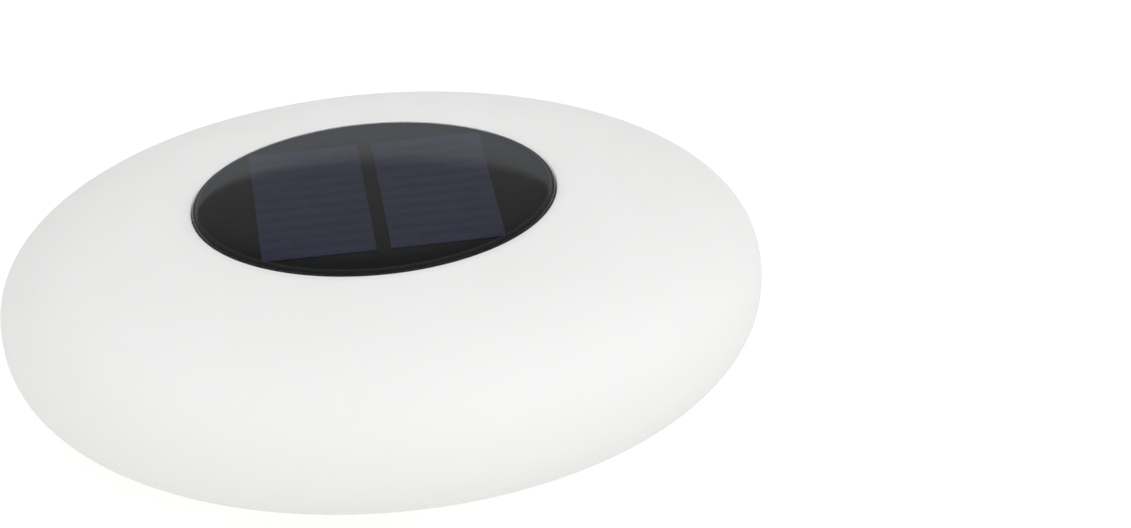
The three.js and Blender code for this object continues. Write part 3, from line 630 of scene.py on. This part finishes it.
# Moulded looks: two colours that are mottled together, roughness, grain and its depth in millimetres.
MOULDED = {
    "frosted_plastic": ((0.80, 0.82, 0.83), (0.85, 0.87, 0.88), 0.6, 0.3, 0.02),
    "black_plastic": ((0.007, 0.0072, 0.0075), (0.010, 0.010, 0.0105), 0.5, 0.35, 0.02),
    "chip_plastic": ((0.010, 0.010, 0.011), (0.016, 0.016, 0.017), 0.6, 0.2, 0.01),
    "black_laminate": ((0.0065, 0.007, 0.0068), (0.008, 0.0085, 0.008), 0.4, 0.25, 0.006),
    "black_rubber": ((0.012, 0.012, 0.012), (0.018, 0.018, 0.018), 0.75, 0.5, 0.02),
    "grey_silicone": ((0.36, 0.37, 0.37), (0.42, 0.43, 0.43), 0.6, 0.4, 0.015),
    "battery_wrap": ((0.030, 0.12, 0.36), (0.036, 0.14, 0.40), 0.3, 1.5, 0.02),
    "led_package": ((0.82, 0.82, 0.79), (0.88, 0.88, 0.85), 0.35, 0.2, 0.005),
    "red_wire": ((0.40, 0.012, 0.012), (0.46, 0.018, 0.015), 0.45, 0.4, 0.01),
    "black_wire": ((0.012, 0.012, 0.012), (0.02, 0.02, 0.02), 0.45, 0.4, 0.01),
}
# Circuit boards: the colours of the mask, of the tracks under it and of the pads.
LAMINATES = {
    "green_laminate": ((0.008, 0.070, 0.034), (0.018, 0.125, 0.052), (0.55, 0.54, 0.50)),
    "white_laminate": ((0.78, 0.78, 0.74), (0.71, 0.71, 0.67), (0.60, 0.58, 0.52)),
}
MATERIALS = {
    "milky_plastic": milky_plastic(),
    "clear_plastic": clear_plastic(),
    "solar_cell": solar_cell(),
    "stainless_steel": brushed_steel("stainless_steel", (0.62, 0.62, 0.63)),
    "copper_wire": brushed_steel("copper_wire", (0.72, 0.36, 0.18)),
}
MATERIALS.update({name: moulded(name, *look) for name, look in MOULDED.items()})
MATERIALS.update({name: laminate(name, *look) for name, look in LAMINATES.items()})

# ---------- pieces ----------


def skin(node, shape, sharp=35.0):
    """The fine version of one CAD node, in its place: it rides on the node's body, in the node's look."""
    mesh = mesh_of(node + "_skin", shape)
    mesh.shade_smooth()
    mesh.set_sharp_from_angle(angle=math.radians(sharp))
    mesh.materials.append(MATERIALS[SLOT_OF[node]])
    obj = linked(node + "_skin", mesh)
    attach(obj, BODY_OF[node])
    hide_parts(node)


def meridian(offset, from_radius, to_radius, steps):
    """The shell's outline between two radii, over its widest circle, moved in by offset."""
    radius = SHELL_RADIUS - offset
    first = -math.acos((from_radius / radius) ** (RADIAL_POWER / 2))
    last = math.acos((to_radius / radius) ** (RADIAL_POWER / 2))
    out = []
    for i in range(steps + 1):
        t = first + (last - first) * i / steps
        depth = (LOWER_DEPTH if t < 0 else UPPER_DEPTH) - offset
        rise = math.copysign(depth * abs(math.sin(t)) ** (2 / AXIAL_POWER), t)
        out.append((radius * math.cos(t) ** (2 / RADIAL_POWER), EQUATOR_Z + rise))
    return out




def float_shell():
    """The moulded float: foot and recess, outside, rolled lip, well, ledge and inside, in that order."""
    lip = 1.1
    rim = meridian_height(WELL_RADIUS + lip)
    foot_end, meridian_start = (70, 0.17), 71
    recess_top, boss_top, boss_radius = TETHER_CEILING + 3, TETHER_CEILING + 12, 17
    ledge_bottom = LEDGE_TOP - 6.5
    foot = [
        (0, TETHER_CEILING),
        (FOOT_INNER - 1, TETHER_CEILING, 3),
        (FOOT_INNER, 0, 1.5),
        (FOOT_OUTER, 0, 6),
        foot_end,
    ]
    lip_arc = [
        (WELL_RADIUS + lip - lip * math.sin(a), rim - lip + lip * math.cos(a))
        for a in [math.radians(15 * k) for k in range(1, 7)]
    ]
    ledge = rounded(
        [
            (WELL_RADIUS, rim - lip),
            (WELL_RADIUS, LEDGE_TOP, 0.8),
            (LEDGE_RADIUS, LEDGE_TOP, 0.6),
            (LEDGE_RADIUS, ledge_bottom, 0.6),
            (WELL_RADIUS + SHELL_WALL, ledge_bottom),
        ],
        4,
        closed=False,
    )
    inside = meridian(SHELL_WALL, FOOT_OUTER + 3, WELL_RADIUS + SHELL_WALL, 40)[::-1]
    bottom = rounded(
        [
            (FOOT_OUTER, SHELL_WALL),
            (FOOT_INNER + 3, SHELL_WALL, 1.5),
            (FOOT_INNER + 2, recess_top, 2),
            (boss_radius, recess_top, 1),
            (boss_radius, boss_top, 0.8),
            (0, boss_top),
        ],
        4,
        closed=False,
    )
    outside = meridian(0, meridian_start, WELL_RADIUS + lip, 110)
    foot_line = rounded(foot, 6, closed=False)[:-1]
    shape = lathe(foot_line + outside + lip_arc + ledge[1:] + inside + bottom, BIG_ROUND)
    pilots = pegs(NECK_SCREWS, 1.5, LEDGE_TOP - 6, LEDGE_TOP + 1, sides=20)
    pilots += pegs(TETHER_SCREWS, 1.5, TETHER_CEILING - 1, TETHER_CEILING + 9, sides=20)
    return cut(shape, *pilots)


def dome_section(radius, rise, steps):
    """A dome's section from its upright rim to the axis, with more points near the rim."""
    out = []
    for k in range(steps):
        angle = math.pi / 2 * (k / steps) ** 1.5
        out.append((radius * math.cos(angle), RIM_Z + rise * math.sin(angle) ** (2 * DOME_POWER)))
    return out + [(0, RIM_Z + rise)]


def lens_dome():
    """The window: a dome of even thickness on an upright wall that ends in a bevelled edge."""
    inner, outer, bevel = LENS_RADIUS - LENS_WALL, LENS_RADIUS, 0.3
    inside = dome_section(inner, LENS_RISE - LENS_WALL, 50)[::-1]
    outside = dome_section(outer, LENS_RISE, 70)
    edge = [
        (inner, LENS_FOOT + bevel),
        (inner + bevel, LENS_FOOT),
        (outer - bevel, LENS_FOOT),
        (outer, LENS_FOOT + bevel),
    ]
    return lathe(inside + edge + outside, BIG_ROUND)


def cap_housing():
    """The cap's moulding: a deck for the panel, and a skirt with lugs outside and posts inside."""
    spigot = LENS_RADIUS - LENS_WALL - 0.25
    flange = LENS_RADIUS - 0.2
    groove_outer, groove_inner = 76, 66
    shoulder = BASE_TOP + 1.3
    body = [
        (0, DECK_BOTTOM),
        (SKIRT_INNER - 2, DECK_BOTTOM, 1.5),
        (SKIRT_INNER - 2, shoulder, 0.3),
        (SKIRT_INNER, shoulder, 0.1),
        (SKIRT_INNER, SKIRT_BOTTOM, 0.3),
        (SKIRT_OUTER, SKIRT_BOTTOM, 0.8),
        (SKIRT_OUTER, FLANGE_BOTTOM, 0.5),
        (flange, FLANGE_BOTTOM, 0.6),
        (flange, FLANGE_TOP, 0.2),
        (spigot, FLANGE_TOP, 0.1),
        (spigot, DECK_TOP, 0.2),
        (groove_outer, DECK_TOP, 0.2),
        (groove_outer, FLANGE_TOP, 0.3),
        (groove_inner, FLANGE_TOP, 0.3),
        (groove_inner, DECK_TOP, 0.2),
        (0, DECK_TOP),
    ]
    shape = lathe(rounded(body, 3, closed=False))
    lugs = threads(SKIRT_OUTER - RIB_ROOT, NECK_INNER - FIT, LUG_SPAN, RIB_START - LUG_DROP, 24)
    bosses = pegs(MODULE_SCREWS, 3.6, BASE_TOP + GAP, DECK_BOTTOM + 1, 0.2)
    posts = pegs(BOARD_SCREWS, 3.0, CONTROL_TOP + GAP, DECK_BOTTOM + 1, 0.2)
    pilots = pegs(MODULE_SCREWS, 1.5, BASE_TOP - 1, BASE_TOP + 12, sides=20)
    pilots += pegs(BOARD_SCREWS, 1.2, CONTROL_TOP - 1, CONTROL_TOP + 7, sides=20)
    window = placed(plate(8, 4, 1.9, DECK_BOTTOM - 1, DECK_TOP + 1), 0, PANEL_LEAD_Y)
    return cut(join(shape, *lugs, *bosses, *posts), *pilots, window)


def neck_ring():
    """The ring screwed into the shell's opening, with the inner half of the thread."""
    flange = NECK_TOP - 3
    outer = WELL_RADIUS - 0.3
    body = [
        (NECK_INNER, NECK_BOTTOM, 0.3),
        (NECK_OUTER, NECK_BOTTOM, 0.8),
        (NECK_OUTER, flange, 0.3),
        (outer, flange, 0.3),
        (outer, NECK_TOP, 0.5),
        (NECK_INNER, NECK_TOP, 0.6),
    ]
    shape = lathe(rounded(body, 3))
    ribs = threads(SKIRT_OUTER + FIT, NECK_INNER + RIB_ROOT, THREAD_SPAN, RIB_START, 96)
    holes = pegs(NECK_SCREWS, 1.8, NECK_TOP - 4, NECK_TOP - 1, sides=24)
    sinks = pegs(NECK_SCREWS, 3.1, NECK_TOP - 2, NECK_TOP + 1, sides=32)
    return cut(cut(join(shape, *ribs), *holes), *sinks)


def neck_gasket():
    """A flat ring with a hole for each screw."""
    bottom, top = heights("neck_gasket")
    ring = tube_ring(NECK_OUTER + 0.8, WELL_RADIUS - 0.4, bottom, top, 0.3)
    return cut(ring, *pegs(NECK_SCREWS, 1.8, bottom - 1, top + 1, sides=24))


def cap_seal():
    """A ring with two rounded lips above and below a waist."""
    bottom, top = heights("cap_seal")
    inner, outer = 69.9, 73.1
    lip, waist = 0.75, 0.55
    half = [
        (inner, 0, 0.5),
        (inner + 1.2, 0, 0.3),
        (inner + 1.6, waist, 0.3),
        (outer - 1.2, 0, 0.3),
        (outer, 0, 0.5),
        (outer, lip, 0.3),
        (outer - 0.5, lip + 0.4, 0.3),
    ]
    lower = [(radius, bottom + z, fillet) for radius, z, fillet in half]
    upper = [(radius, top - z, fillet) for radius, z, fillet in half[::-1]]
    return lathe(rounded(lower + upper, 3))


def screw(head_radius, head_height, shank_radius, length):
    """A pan-head screw with a cross recess and a threaded shank. The head seats at zero and points up."""
    pitch, root, point = shank_radius * 0.55, shank_radius * 0.8, shank_radius * 0.35
    point_length = 1.2
    profile = [(0, -length), (point, -length)]
    z = point_length - length
    while z < -pitch:
        crest = [(shank_radius, z + pitch * share) for share in (0.3, 0.45)]
        profile += [(root, z), *crest, (root, z + pitch * 0.7)]
        z += pitch
    head = [
        (root, 0),
        (head_radius, 0, 0.15),
        (head_radius, head_height * 0.45, head_height * 0.4),
        (head_radius * 0.55, head_height, head_height * 0.3),
        (0, head_height),
    ]
    shape = lathe(profile + rounded(head, 4, closed=False), 24)
    slot_length, slot_width, slot_depth = head_radius * 1.15, head_radius * 0.26, head_height * 0.62
    slot_foot = head_height - slot_depth
    return cut(shape, crossed(slot_length, slot_width, slot_width / 4, slot_foot, head_height + 1, 0.05))


def tether_bracket():
    """A plate with two ears, and a bore through both for the tether ring's bar."""
    top = high("tether_bracket")
    bottom = top - 3
    half_ear, ear_middle = 1.5, 7.2
    base = plate(30, 16, 4, bottom, top, 0.4)
    flat_ears = [plate(9.2, 9, 3.2, x - half_ear, x + half_ear, 0.3) for x in (-6, 6)]
    ears = [placed(tipped(ear), z=ear_middle) for ear in flat_ears]
    bore = placed(tipped(disc(1.8, -10, 10, sides=32)), z=HINGE_Z)
    holes = pegs(TETHER_SCREWS, 1.8, bottom - 1, bottom + 5, sides=24)
    return cut(join(base, *ears), bore, *holes)


def tether_ring():
    """A welded wire bail: its straight bar runs in the bracket's ears."""
    half, arm_end = 13.0, 10.0
    bar = [(x, 0) for x in (-8, -4, 0, 4, 8)]
    corner = [(half - 1.6, 0.35), (half - 0.35, 1.6)]
    angles = [math.pi * k / 8 for k in range(1, 8)]
    bow = [(half * math.cos(a), arm_end + half * math.sin(a)) for a in angles]
    right = corner + [(half, 4.5), (half, arm_end - 2)]
    left = [(-x, y) for x, y in right][::-1]
    path = catmull([(x, y, HINGE_Z) for x, y in bar + right + bow + left], cyclic=True)
    return tube(path, 1.5, 20, cyclic=True)


def light_cover():
    """A frosted channel under the ring of lights."""
    bottom, top = heights("light_cover")
    inner, outer, wall = 45.6, 61.6, 1.5
    corners = [
        (inner, bottom, 1.2),
        (outer, bottom, 1.2),
        (outer, top, 0.2),
        (outer - wall, top, 0.2),
        (outer - wall, bottom + wall, 0.6),
        (inner + wall, bottom + wall, 0.6),
        (inner + wall, top, 0.2),
        (inner, top, 0.2),
    ]
    return lathe(rounded(corners, 4))


def module_base():
    """The disc that closes the skirt, with the battery bay, the door's bosses and the switch's posts."""
    wall = 1.8
    floor, under = BASE_TOP - 1, BASE_BOTTOM - 1
    body = disc(SKIRT_INNER - 0.3, BASE_BOTTOM, BASE_TOP, 0.3, ROUND)
    bay = plate(BAY_LENGTH + 2 * wall, BAY_WIDTH + 2 * wall, 3, floor, high("module_base"), 0.4)
    posts = pegs([(-9, BUTTON_Y), (9, BUTTON_Y)], 2.0, floor, low("switch_board") - GAP, 0.2)
    bosses = pegs(DOOR_SCREWS, 2.6, floor, BASE_TOP + 4, 0.2)
    hollow = plate(BAY_LENGTH, BAY_WIDTH, 1.2, under, BAY_CEILING)
    shape = join(cut(join(body, bay, *posts), hollow), *bosses)
    holes = pegs(DOOR_SCREWS, 1.2, under, BASE_TOP + 3, sides=20)
    holes += pegs(MODULE_SCREWS, 1.7, under, BASE_TOP + 1, sides=24)
    holes += pegs([(0, BUTTON_Y)], 5.2, under, BASE_TOP + 1, sides=40)
    lead_places = [(-LEAD_X, LEAD_Y), (LEAD_X, LEAD_Y)]
    holes += pegs(lead_places, 1.1, BAY_CEILING - 1, BAY_CEILING + 3, sides=20)
    holes += pegs([(0, CABLE_Y)], 2.1, under, BASE_TOP + 1, sides=24)
    return cut(shape, *holes)


def battery_cell():
    """A wrapped cylindrical cell along X, with rolled sleeve edges, a crimp groove and a button."""
    length, radius, button, button_height = 64.0, 9.1, 4.0, 1.2
    groove = radius - 0.35
    corners = [
        (0, 0),
        (radius, 0, 0.6),
        (radius, length - 3.4, 0.3),
        (groove, length - 2.9, 0.3),
        (groove, length - 2.3, 0.3),
        (radius, length - 1.8, 0.3),
        (radius, length, 0.7),
        (radius - 2, length, 0.1),
        (radius - 2.2, length - 0.5, 0.1),
        (button, length - 0.5, 0.2),
        (button, length + button_height, 0.5),
        (0, length + button_height),
    ]
    shape = lathe(rounded(corners, 3, closed=False), 64)
    points = [Vector((length / 2 - p.z, p.y, p.x + BATTERY_Z)) for p in shape[0]]
    return points, shape[1]


def battery_spring():
    """A cone of wire that opens towards the end of the bay."""
    near, far = 32.55, 34.15
    small, large, turns, steps = 2.6, 5.4, 3, 96
    path = []
    for i in range(steps + 1):
        share = i / steps
        angle = 2 * math.pi * turns * share
        reach = small + (large - small) * share
        x = near + (far - near) * share
        path.append(Vector((x, reach * math.cos(angle), BATTERY_Z + reach * math.sin(angle))))
    return tube(path, 0.4, 10)


def battery_contact():
    """A square plate on the bay's end wall."""
    return placed(tipped(plate(12, 12, 1.5, 0, 0.5, 0.08)), GAP - BAY_LENGTH / 2, 0, BATTERY_Z)


def door_gasket():
    """A flat frame round the battery bay."""
    bottom, top = heights("door_gasket")
    outer = plate(BAY_LENGTH + 5, BAY_WIDTH + 5, 3, bottom, top, 0.3)
    return cut(outer, plate(BAY_LENGTH + 1, BAY_WIDTH + 1, 1.5, bottom - 1, top + 1))


def battery_door():
    """The bay's lid, with three raised finger ribs across each end."""
    bottom, top = heights("battery_door")
    lid = plate(84, 27, 8, bottom + 0.4, top, 0.5)  # the ribs stand 0.4 proud of it
    rib = plate(1.6, 15, 0.8, bottom, bottom + 1, 0.3)
    ribs = [placed(rib, x) for x in (-31, -27, -23, 23, 27, 31)]
    holes = pegs(DOOR_SCREWS, 1.2, bottom - 1, top + 1, sides=20)
    seats = pegs(DOOR_SCREWS, 2.3, bottom - 1, bottom + 0.401, sides=32)
    return cut(cut(join(lid, *ribs), *holes), *seats)


def control_board():
    """The main board, with its two screw holes."""
    board = plate(64, 44, 2, CONTROL_BOTTOM, CONTROL_TOP, 0.1)
    return cut(board, *pegs(BOARD_SCREWS, 1.4, CONTROL_BOTTOM - 1, CONTROL_TOP + 1, sides=24))


def power_coil():
    """A drum choke: two flanges with a winding of round wire between them."""
    bottom, top = heights("power_coil")
    flange, flange_height, turns = 5, 0.7, 7
    valley, crest = 4.0, 4.45
    profile = [(0, bottom), (flange, bottom), (flange, bottom + flange_height)]
    step = (top - bottom - 2 * flange_height) / turns
    for k in range(turns):
        z = bottom + flange_height + step * k
        wire = [(crest, z + step * 0.3), (crest, z + step * 0.7)]
        profile += [(valley, z + 0.02), *wire, (valley, z + step * 0.98)]
    profile += [(flange, top - flange_height), (flange, top), (2, top), (1.7, top - 0.3), (0, top - 0.3)]
    return placed(lathe(profile, 40), *centre("power_coil"))


def storage_capacitor():
    """A can with a rolled neck near its foot and a cross scored in its top."""
    bottom, top = heights("storage_capacitor")
    radius, neck = 3.1, 2.8
    corners = [
        (0, bottom),
        (radius, bottom, 0.3),
        (radius, bottom + 0.7, 0.2),
        (neck, bottom + 1.0, 0.2),
        (radius, bottom + 1.3, 0.2),
        (radius, top, 0.5),
        (0, top),
    ]
    shape = lathe(rounded(corners, 3, closed=False), 36)
    scores = crossed(4.2, 0.3, 0.1, top - 0.2, top + 1, 0.02)
    return placed(cut(shape, scores), *centre("storage_capacitor"))


def control_chip():
    """A moulded chip with gull-wing legs."""
    bottom, top = heights("control_chip")
    body = plate(9.6, 3.8, 0.2, bottom + 0.2, top, 0.15)
    legs_a_side, pitch = 8, 1.15
    bends = [(1.8, 0.8), (2.2, 0.8), (2.45, 0.15), (2.95, 0.15)]  # how far out and how high
    legs = []
    for k in range(legs_a_side):
        x = (k - (legs_a_side - 1) / 2) * pitch
        for side in (-1, 1):
            path = [Vector((x, side * out, bottom + up)) for out, up in bends]
            legs.append(tube(path, 0.12, 6))
    return placed(merged(body, *legs), *centre("control_chip"))


def led_package_shape(node):
    """A white cup with a round well, filled with a dome of gel."""
    bottom, top = heights(node)
    x, y = centre(node)
    turn = math.degrees(math.atan2(y, x))
    cup = plate(4.9, 4.9, 0.3, bottom, top, 0.12)
    well = disc(1.85, bottom - 1, bottom + 0.55, sides=32)
    gel = disc(1.8, bottom + 0.08, bottom + 0.5, 0.2, 32)
    return placed(merged(cut(cup, well), gel), x, y, 0, turn)


def ir_receiver():
    """A block with a shallow eye that looks down."""
    bottom, top = heights("ir_receiver")
    eye, drop = 2.2, 1.1
    block = plate(5.3, 5.9, 0.4, bottom + 1, top, 0.2)
    angles = [math.pi / 16 * k for k in range(1, 9)]
    points = [(eye * math.sin(a), bottom + drop - drop * math.cos(a)) for a in angles]
    dome = lathe([(0, bottom)] + points + [(eye, bottom + 2), (0, bottom + 2)], 36)
    return placed(join(block, dome), *centre("ir_receiver"))


def button_boot():
    """A rubber ring with a rolled convolution round the button."""
    bottom, top = heights("button_boot")
    inner, outer = 3.8, 8.4
    corners = [
        (inner, bottom + 0.3, 0.3),
        (4.6, bottom + 0.8, 0.3),
        (5.6, bottom, 0.4),
        (outer, bottom, 0.5),
        (outer, top, 0.2),
        (inner, top, 0.2),
    ]
    return placed(lathe(rounded(corners, 4), 64), 0, BUTTON_Y)


def power_button():
    """A dished button with a collar that keeps it in the base, and a stem up to the switch."""
    bottom, top = heights("power_button")
    radius, collar, stem = 3.4, 4.7, 2
    collar_bottom = BASE_BOTTOM + 0.3
    collar_top = collar_bottom + 1.2
    corners = [
        (0, bottom + 0.5),
        (1.4, bottom + 0.3, 0.8),
        (2.4, bottom, 0.3),
        (radius, bottom, 0.6),
        (radius, collar_bottom, 0.2),
        (collar, collar_bottom, 0.2),
        (collar, collar_top, 0.3),
        (stem, collar_top, 0.3),
        (stem, top, 0.3),
        (0, top),
    ]
    return placed(lathe(rounded(corners, 4, closed=False), 56), 0, BUTTON_Y)


def switch_body():
    """A square case whose stem points down at the button."""
    bottom, top = heights("switch_body")
    case = plate(10, 10, 0.6, bottom + 0.9, top, 0.25)
    stem = disc(2.6, bottom, bottom + 1.5, 0.3, 36)
    return placed(join(case, stem), 0, BUTTON_Y)


def panel_lead(side):
    """A lead from the panel, down through the deck and back along to the control board."""
    stops = [
        (PANEL_LEAD_Y, DECK_TOP - 0.3),
        (PANEL_LEAD_Y, DECK_BOTTOM - 1),
        (26, DECK_BOTTOM - 3.5),
        (19, DECK_BOTTOM - 4),
        (16, CONTROL_TOP + 2),
        (16, CONTROL_TOP + 0.3),
    ]
    return tube(catmull([(side * 2.0, y, z) for y, z in stops]), 0.75)


def battery_lead(side):
    """A lead up from the bay and inwards to the control board."""
    stops = [
        (0, LEAD_Y, BATTERY_Z + 8),
        (0, LEAD_Y, BAY_CEILING + 2.2),
        (4, 7, BAY_CEILING + 3.4),
        (7, 8, CONTROL_BOTTOM - 1.6),
        (8, 8, CONTROL_BOTTOM - 0.3),
    ]
    return tube(catmull([(side * (LEAD_X - inwards), y, z) for inwards, y, z in stops]), 0.65)


def led_cable():
    """The cable from the control board, over the bay and down to the ring of lights."""
    stops = [
        (19, CONTROL_BOTTOM - 0.3),
        (19, CONTROL_BOTTOM - 2),
        (24, CONTROL_BOTTOM - 5),
        (44, BASE_TOP + 16),
        (52, BASE_TOP + 8),
        (CABLE_Y, BASE_TOP + 2),
        (CABLE_Y, high("led_board") + 0.3),
    ]
    return tube(catmull([(0, y, z) for y, z in stops]), 1.45, 18)


def solar_cell_shape(node):
    """One column of the panel: strips of silicon, end to end."""
    lowest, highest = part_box(node)
    x, y = centre(node)
    width = (highest.x - lowest.x) / MM
    strip = plate(width, STRIP_PITCH - STRIP_GAP, 0.5, *heights(node), 0.1)
    middle = (STRIP_COUNT - 1) / 2
    return merged(*[placed(strip, x, y + (k - middle) * STRIP_PITCH) for k in range(STRIP_COUNT)])


def led_board():
    """The lights' ring of laminate, with a hole for the cable."""
    bottom, top = heights("led_board")
    ring = tube_ring(47.4, 59.8, bottom, top, 0.1)
    return cut(ring, *pegs([(0, CABLE_Y)], 2.2, bottom - 1, top + 1, sides=24))


def panel_board():
    """The black disc that carries the cells."""
    return disc(77.2, *heights("panel_board"), 0.25, ROUND)


def module_seal():
    """The ring between the base and the skirt."""
    return tube_ring(60.95, 62.35, *heights("module_seal"), 0.35)


def switch_board():
    """The small board over the button."""
    board = plate(24, 14, 1.5, *heights("switch_board"), 0.1)
    return placed(board, 0, BUTTON_Y)


# The pieces that occur once, each made by a function of its CAD name.
SINGLE_PIECES = (
    float_shell,
    neck_ring,
    neck_gasket,
    tether_bracket,
    tether_ring,
    cap_seal,
    cap_housing,
    panel_board,
    module_base,
    module_seal,
    battery_cell,
    battery_spring,
    battery_contact,
    door_gasket,
    battery_door,
    control_board,
    control_chip,
    power_coil,
    storage_capacitor,
    ir_receiver,
    led_board,
    light_cover,
    led_cable,
    button_boot,
    switch_body,
    switch_board,
    power_button,
)
for make in SINGLE_PIECES:
    skin(make.__name__, make())
skin("lens_dome", lens_dome(), sharp=60.0)
for node in ("solar_cell_left", "solar_cell_right"):
    skin(node, solar_cell_shape(node))
for node in [f"led_{number}" for number in range(1, 9)]:
    skin(node, led_package_shape(node))
for wire, side in (("red", 1), ("black", -1)):
    skin("panel_lead_" + wire, panel_lead(side))
    skin("battery_lead_" + wire, battery_lead(-side))

# Each kind of screw: its places, its head's radius and height, its shank's radius and length, and
# whether its head points down.
SCREW_KINDS = {
    "neck_screw": (NECK_SCREWS, (2.7, 1.7, 1.4, 7.6), False),
    "tether_screw": (TETHER_SCREWS, (2.7, 1.7, 1.4, 11.0), True),
    "module_screw": (MODULE_SCREWS, (2.7, 1.8, 1.35, 12.0), True),
    "door_screw": (DOOR_SCREWS, (2.1, 1.4, 1.0, 9.0), True),
    "board_screw": (BOARD_SCREWS, (2.2, 1.4, 1.0, 7.0), True),
}
for kind, (places, size, flip) in SCREW_KINDS.items():
    made = screw(*size)
    length = size[-1]
    for number, (x, y) in enumerate(places, 1):
        node = f"{kind}_{number}"
        seat = high(node) - length if flip else low(node) + length
        skin(node, placed(made, x, y, seat, 30.0 * number, flip))

# ---------- stage ----------


def stage_floor():
    """A pale matt floor just under the foot. It can't be seen from below, so the underside can."""
    reach, drop = 12.0, -0.0002
    g = painter("studio_floor")
    mottle = g.spread(g.noise(3.0), 0.3, 0.7)
    shade = g.blend(mottle, (0.60, 0.60, 0.60), (0.62, 0.62, 0.62))
    surface = g.add(
        "BsdfPrincipled",
        Base_Color=shade,
        Roughness=0.9,
        Specular_IOR_Level=0.0,
        Emission_Color=(1, 1, 1),
        Emission_Strength=0.5,
    )
    bounce = g.add("Emission", Color=(1, 1, 0.99), Strength=0.87)
    seen = g.mix_shaders(g.add("LightPath").outputs["Is Camera Ray"], bounce, surface)
    clear = g.add("BsdfTransparent")
    material = g.finish(g.mix_shaders(g.add("NewGeometry").outputs["Backfacing"], seen, clear))
    material.cycles.emission_sampling = "NONE"
    mesh = bpy.data.meshes.new("studio_floor")
    corners = [(x * reach, y * reach, drop) for x, y in ((-1, -1), (1, -1), (1, 1), (-1, 1))]
    mesh.from_pydata(corners, [], [(0, 1, 2, 3)])
    mesh.materials.append(material)
    linked("studio_floor", mesh)


def studio_world():
    """White to the camera, a soft sky for lighting, and a dim room with a pale horizon in reflections."""
    world = bpy.data.worlds.new("studio")
    bpy.context.scene.world = world
    g = Graph(world, "OutputWorld", "Generated")
    # The sky is brighter on the side of the key light.
    key = Vector((0.41, -0.83, 0.36)).normalized()
    toward_key = g.filled("VectorMath", {"operation": "DOT_PRODUCT"}, g.place, key).outputs["Value"]
    facing = g.maths("MULTIPLY_ADD", toward_key, 0.5, 0.5)
    sky = g.maths("MULTIPLY_ADD", g.maths("POWER", facing, 2.0), 0.55, 0.75)
    # The room's pale horizon slopes a little across its far side.
    across, _, up = g.position()
    slope = g.spread(across, -0.11, 0.19, 0.03, -0.036)
    room = g.ramp(
        g.maths("ADD", up, slope),
        [
            (0.0, (0.14, 0.145, 0.16)),
            (0.26, (0.208, 0.216, 0.235)),
            (0.335, (0.215, 0.217, 0.224)),
            (0.371, (0.088, 0.088, 0.088)),
            (0.62, (0.082, 0.082, 0.082)),
            (0.77, (0.035, 0.035, 0.035)),
        ],
    )
    looks = ((sky, 1.0), (room, 1.0), ((1.0, 1.0, 1.0), 1.2))
    lighting, mirrored, backdrop = [
        g.add("Background", Color=source, Strength=strength) for source, strength in looks
    ]
    ray = g.add("LightPath").outputs
    unseen = g.mix_shaders(ray["Is Glossy Ray"], lighting, mirrored)
    g.finish(g.mix_shaders(ray["Is Camera Ray"], unseen, backdrop))


def camera():
    """A long lens that looks down by about 25 degrees, rolled a little."""
    azimuth, elevation, roll = (math.radians(angle) for angle in (-2.45, 25.5, 5.2))
    lens, distance = 120.7, 10 * SHELL_RADIUS * MM
    target = Vector((0, 0, EQUATOR_Z * MM))
    # Slopes, across and up the picture, of the line of sight to the object's centre.
    aim = Vector((-0.04842, -0.00543, -1.0)).normalized()
    flat_back = Vector((math.sin(azimuth), -math.cos(azimuth), 0))
    back = flat_back * math.cos(elevation) + Vector((0, 0, math.sin(elevation)))
    right = Vector((math.cos(azimuth), math.sin(azimuth), 0))
    up = back.cross(right)
    look = Matrix((right, up, back)).transposed() @ Matrix.Rotation(-roll, 3, "Z")
    swing = aim.rotation_difference(Vector((0, 0, -1))).to_matrix()
    data = bpy.data.cameras.new("camera")
    data.sensor_width = 36.0
    data.lens = lens
    data.clip_start, data.clip_end = 0.05, 50.0
    obj = linked("camera", data)
    obj.matrix_world = Matrix.Translation(target + back * distance) @ (look @ swing).to_4x4()
    bpy.context.scene.camera = obj


stage_floor()
studio_world()
camera()
bpy.context.scene.view_settings.view_transform = "Standard"
